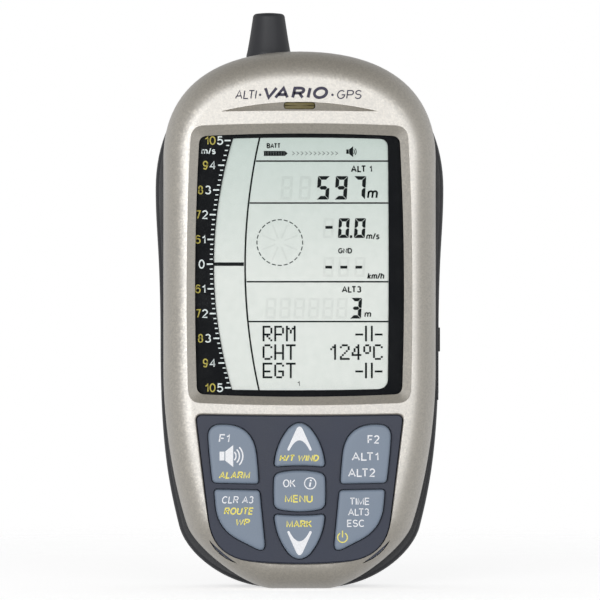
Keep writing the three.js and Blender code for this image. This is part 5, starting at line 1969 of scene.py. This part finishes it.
@dataclass
class PowerPack:
    """The battery tray, cells, contacts and the sliding door."""

    finishes: Finishes
    shells: Shells
    radius: float = 7.15
    span: Point = (22.8, 72.8)
    pitch: float = 15.0
    depth: float = 9.2

    def cell(self, number: int) -> bpy.types.Object:
        """Builds one cell with a rolled edge, a grooved seal and its nub, standing up or down."""
        low, high = self.span
        r = self.radius
        up = number % 2 == 0
        base = [(0, 0.25), (r - 2.2, 0.25), (r - 1.6, 0.0), (r - 0.5, 0.0), (r - 0.15, 0.12)]
        edge = [(r, 0.5), (r, 47.3), (r - 0.12, 47.75), (r - 0.6, 47.9)]
        cap = [(r - 1.3, 47.55), (r - 2.0, 47.55), (r - 2.6, 48.3)]
        nub = [(2.75, 48.8), (2.7, 49.8), (2.4, 50.0), (0, 50.0)]
        profile = [*base, *edge, *cap, *nub]
        placed = [(radius, low + h if up else high - h) for radius, h in profile]
        x = (number - 1.5) * self.pitch
        piece = revolve(f"cell_{number + 1}", placed, (x, self.depth, 0), "Z", 56)
        node = f"battery_cell_{number + 1}"
        return settle(smooth(piece, 40), Body.HOUSING, (node,), self.finishes.wrap)

    def springs(self) -> None:
        """Winds the springs that push on the cells' flat ends."""
        low, high = self.span
        for number in range(4):
            x = (number - 1.5) * self.pitch
            foot = low - 2.6 if number % 2 == 0 else high + 0.3
            radii = (4.4, 2.9) if number % 2 == 0 else (2.9, 4.4)
            name, place = f"contact_spring_{number + 1}", (x, self.depth, foot + 0.3)
            spring = coil(name, place, radii, 1.9, 3.5, 0.3, self.finishes.tinned)
            settle(spring, Body.HOUSING)

    def door(self) -> bpy.types.Object:
        """Builds the door: a slice of the rear shell's skin, rails and a ribbed thumb grip."""
        skin = self.shells.rear_skin("door_slice")
        outline = half_outline(RIGHT_REAR, FOOT_HALF)
        inner = ((2, 4), (2, 9.9), (2.8, 12.8), (4.6, 15.3), (7.6, 17), (12, 17.4))
        carve(skin, Cut.REMOVE, loft("inner", [(inset(outline, d), y) for d, y in inner]))
        carve(skin, Cut.KEEP_SHARED, block("slice", (-30, 30), (14.5, 30), (-5, 80), 0.35))
        rails = []
        for side in (-1, 1):
            near, mid, far = 28.2 * side, 29.6 * side, 31.5 * side
            rails.append(block("rail_foot", tuple(sorted((near, mid))), (16.4, 17.7), (30, 78)))
            rails.append(block("rail", tuple(sorted((near, far))), (16.4, 17.3), (30, 78)))
        carve(skin, Cut.ADD, *rails)
        levels = ((0.0, 20.4), (0.0, 19.4), (1.2, 18.95), (2.6, 18.8))
        carve(skin, Cut.REMOVE, loft("thumb_dish", [(self._dish(d), y) for d, y in levels]))
        piece = settle(smooth(skin, 30), Body.DOOR, ("battery_door",), self.finishes.dark)
        rib = block("rib", (-0.5, 0.5), (-0.24, 0.3), (-0.45, 0.45), 0.16)
        places = [(0, 18.96, 62.5 + 1.9 * i) for i in range(7)]
        widths = [(16.5 - abs(i - 3) * 1.2, 1.0, 1.0) for i in range(7)]
        ribs = repeat_on_points("door_grip_ribs", rib, places, self.finishes.dark, None, widths)
        settle(ribs, Body.DOOR)
        arrow = Artwork(19.405, 19.2)
        arrow.shape([(-2.2, 56.5), (2.2, 56.5), (0, 53.4)])
        settle(arrow.build("door_arrow", self.finishes.rubber), Body.DOOR)
        return piece

    @staticmethod
    def _dish(distance: float) -> Loop:
        """The outline of the door's thumb dish, moved inwards."""
        return box_panel(-12, 59.8, 12, 76.6, 6).offset(distance).loop(6, 9)

    def build(self) -> None:
        """Builds the battery compartment."""
        for number in range(4):
            self.cell(number)
        self.springs()
        self.door()
        dress(self.finishes.dark, "battery_tray")
        contacts = ("upper_left", "upper_right", "lower_middle", "lower_left", "lower_right")
        dress(self.finishes.tinned, *(f"contact_{name}" for name in contacts))
        dress(self.finishes.red, "battery_lead_red")
        dress(self.finishes.black, "battery_lead_black")


@dataclass
class SocketBay:
    """The sockets in the right-hand side and their hinged rubber cover."""

    finishes: Finishes
    outer: float = 46.1
    thickness: float = 1.6
    hinge: Point = (45.3, 9.2)

    def cover(self) -> bpy.types.Object:
        """Builds the cover: a soft-edged strip with a rolled hinge edge, plugs and a pull."""
        inner = self.outer - self.thickness
        strip = block("socket_flap", (inner, self.outer), (-1, self.hinge[1] + 0.3), (64, 100), 0.3)
        adds = [rod("roll", 0.8, (64, 100), (*self.hinge, 0), "Z", 32)]
        for z in (72, 83, 93):
            profile = [(0, 43.5), (1.5, 43.5), (1.9, 43.9), (1.9, 44.8), (0, 44.8)]
            adds.append(revolve("plug", profile, (0, 4.5, z), "X", 32))
        adds.append(block("pull", (self.outer - 0.3, self.outer + 0.5), (-0.2, 0.8), (78, 86), 0.22))
        carve(strip, Cut.ADD, *adds)
        spans = ((63, 66.3), (97.7, 101))
        bores = [rod("bore", 0.5, span, (*self.hinge, 0), "Z", 20) for span in spans]
        carve(strip, Cut.REMOVE, *bores)
        smooth(strip, 35)
        nodes = ("socket_cover",)
        return settle(strip, Body.COVER, nodes, self.finishes.rubber)

    def build(self) -> None:
        """Builds the socket bay."""
        self.cover()
        dress(self.finishes.board, "socket_board")
        dress(self.finishes.chip, "charging_socket", "sensor_socket")
        dress(self.finishes.tinned, "data_socket")


@dataclass
class Fasteners:
    """Case screws, board screws and the bracket's threaded inserts."""

    finishes: Finishes
    case_places = ((36.5, 34.0), (39.8, 108.0), (27.0, 163.0))
    insert_places = ((-14.0, 129.0), (14.0, 129.0))

    def case_screws(self) -> None:
        """Builds the six case screws with hexagon sockets."""
        shank = [(0, -29.7), (0.6, -29.7), (1.2, -29.0), (1.2, -2.3)]
        head = [(2.45, -2.3), (2.6, -2.15), (2.6, -0.25), (2.35, 0), (0, 0)]
        screw = revolve("screw", [*shank, *head], (0, 0, 0), "Y", 36)
        socket = rod("socket", 1.3, (-1.2, 1), (0, 0, 0), "Y", 6)
        carve(screw, Cut.REMOVE, socket)
        places = [(x, 17.2, z) for x, z in both_sides(self.case_places)]
        turns = [0.3 * i for i in range(6)]
        screws = repeat_on_points("case_screws", screw, places, self.finishes.steel, turns)
        nodes = [f"case_screw_{i}" for i in range(1, 7)]
        settle(smooth(screws, 30), Body.HOUSING, nodes)

    def inserts(self) -> None:
        """Builds the two threaded inserts."""
        profile = [(1.7, 12.4), (2.6, 12.4), (2.8, 12.6), (2.8, 19.5)]
        profile += [(2.65, 19.7), (2.0, 19.7), (1.7, 19.4)]
        thread = []
        for i in range(24):
            z = 19.2 - i * 0.28
            thread += [(1.7, z), (1.88, z - 0.14)]
        ring = revolve("insert", [*profile, *thread, (1.7, 12.4)], (0, 0, 0), "Y", 40)
        places = [(x, 0, z) for x, z in self.insert_places]
        made = repeat_on_points("bracket_inserts", ring, places, self.finishes.brass)
        nodes = ("bracket_insert_left", "bracket_insert_right")
        settle(smooth(made, 25), Body.HOUSING, nodes)

    def build(self) -> None:
        """Builds the fasteners."""
        self.case_screws()
        self.inserts()
        dress(self.finishes.steel, *(f"board_screw_{i}" for i in range(1, 5)))


@dataclass
class Electronics:
    """The main board, what is on it, and the speaker."""

    finishes: Finishes

    def build(self) -> None:
        """Dresses the carried-over pieces."""
        dress(self.finishes.board, "main_board")
        dress(self.finishes.tinned, "gps_receiver", "pressure_sensor")
        dress(self.finishes.chip, "processor_chip", "speaker")


@dataclass
class Studio:
    """The camera, lights and floor."""

    view_y: float = -1.6588
    aim: Point = (0.00016, 0.0951)
    lens: float = 300.0
    middle: tuple[float, float, float] = (0.0, 0.0, 0.095)
    from_sides: float = 0.5
    from_behind: float = 0.6
    from_below: float = 0.15
    everywhere: float = 0.05

    def camera(self) -> None:
        """Sets a long lens straight in front of the screen."""
        data = bpy.data.cameras.new("camera")
        data.lens, data.sensor_width = self.lens, 36.0
        data.clip_start, data.clip_end = 0.1, 20.0
        eye = bpy.data.objects.new("camera", data)
        eye.location = (self.aim[0], self.view_y, self.aim[1])
        eye.rotation_euler = (math.pi / 2, 0, 0)
        bpy.context.scene.collection.objects.link(eye)
        bpy.context.scene.camera = eye

    def softbox(self, name: str, place: tuple[float, float, float], size: Point, power: float) -> None:
        """Adds a soft light that faces the middle of the object."""
        data = bpy.data.lights.new(name, "AREA")
        data.shape, data.size, data.size_y, data.energy = "RECTANGLE", size[0], size[1], power
        light = bpy.data.objects.new(name, data)
        light.location = place
        aim = Vector(self.middle) - Vector(place)
        light.rotation_euler = aim.to_track_quat("-Z", "Y").to_euler()
        light.visible_camera = False
        bpy.context.scene.collection.objects.link(light)

    def surroundings(self) -> None:
        """A white room that lights the object from its sides, from behind and a little from below."""
        world = bpy.data.worlds.new("room")
        bpy.context.scene.world = world
        world.use_nodes = True
        g = Graph(world.node_tree)
        way = g.node("ShaderNodeTexCoord").outputs["Generated"]
        split = g.node("ShaderNodeSeparateXYZ", {0: way})
        side = g.math("POWER", g.math("ABSOLUTE", split.outputs["X"]), 1.5)
        behind = g.math("MAXIMUM", split.outputs["Y"], 0.0)
        below = g.math("MAXIMUM", g.math("MULTIPLY", split.outputs["Z"], -1.0), 0.0)
        shares = ((side, self.from_sides), (behind, self.from_behind), (below, self.from_below))
        level: Any = self.everywhere
        for share, strength in shares:
            level = g.math("ADD", g.math("MULTIPLY", share, strength), level)
        lighting = g.node("ShaderNodeBackground", {"Color": (1, 1, 1, 1), "Strength": level})
        seen = g.node("ShaderNodeBackground", {"Color": (1, 1, 1, 1), "Strength": 1.0})
        camera = g.node("ShaderNodeLightPath").outputs["Is Camera Ray"]
        both = g.node("ShaderNodeMixShader", {0: camera, 1: lighting.outputs[0], 2: seen.outputs[0]})
        g.node("ShaderNodeOutputWorld", {0: both.outputs[0]})

    def floor(self) -> None:
        """A pale floor that fades out at its rim and throws no light on the object."""
        bm = bmesh.new()
        bmesh.ops.create_circle(bm, cap_ends=True, segments=96, radius=0.6)
        piece = from_bmesh("floor", bm, outward=False)
        s = Surface("pale_floor", Base_Color=(0.9, 0.9, 0.9, 1.0), Roughness=0.9, Specular_IOR_Level=0.1)
        s.shader.inputs["Emission Color"].default_value = (1, 1, 1, 1)
        s.shader.inputs["Emission Strength"].default_value = 0.6
        away = s.node("ShaderNodeVectorMath", {0: s.place}, operation="LENGTH").outputs["Value"]
        s.set("Alpha", s.spread(away, 0.12, 0.45, 1.0, 0.0))
        piece.data.materials.append(s.material)
        piece.visible_diffuse = piece.visible_glossy = False

    def build(self) -> None:
        """Sets up the studio."""
        bpy.context.scene.view_settings.view_transform = "Standard"
        self.camera()
        self.surroundings()
        self.floor()
        self.softbox("fill_light", (0.52, -1.3, 0.18), (0.8, 0.34), 6.8)
        self.softbox("key_light", (-0.5, -1.3, 0.18), (0.75, 0.34), 10.3)


def main() -> None:
    """Builds the studio and the object, piece by piece."""
    logging.basicConfig(level=logging.INFO, format="%(message)s")
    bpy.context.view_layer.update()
    Studio().build()
    finishes = Finishes()
    shells = Shells(finishes)
    shells.build()
    Screen(finishes, shells).build()
    Keypad(finishes, shells.keypad_opening).build()
    Antenna(finishes).build()
    PowerPack(finishes, shells).build()
    SocketBay(finishes).build()
    Fasteners(finishes).build()
    Electronics(finishes).build()


if __name__ == "__main__":
    main()
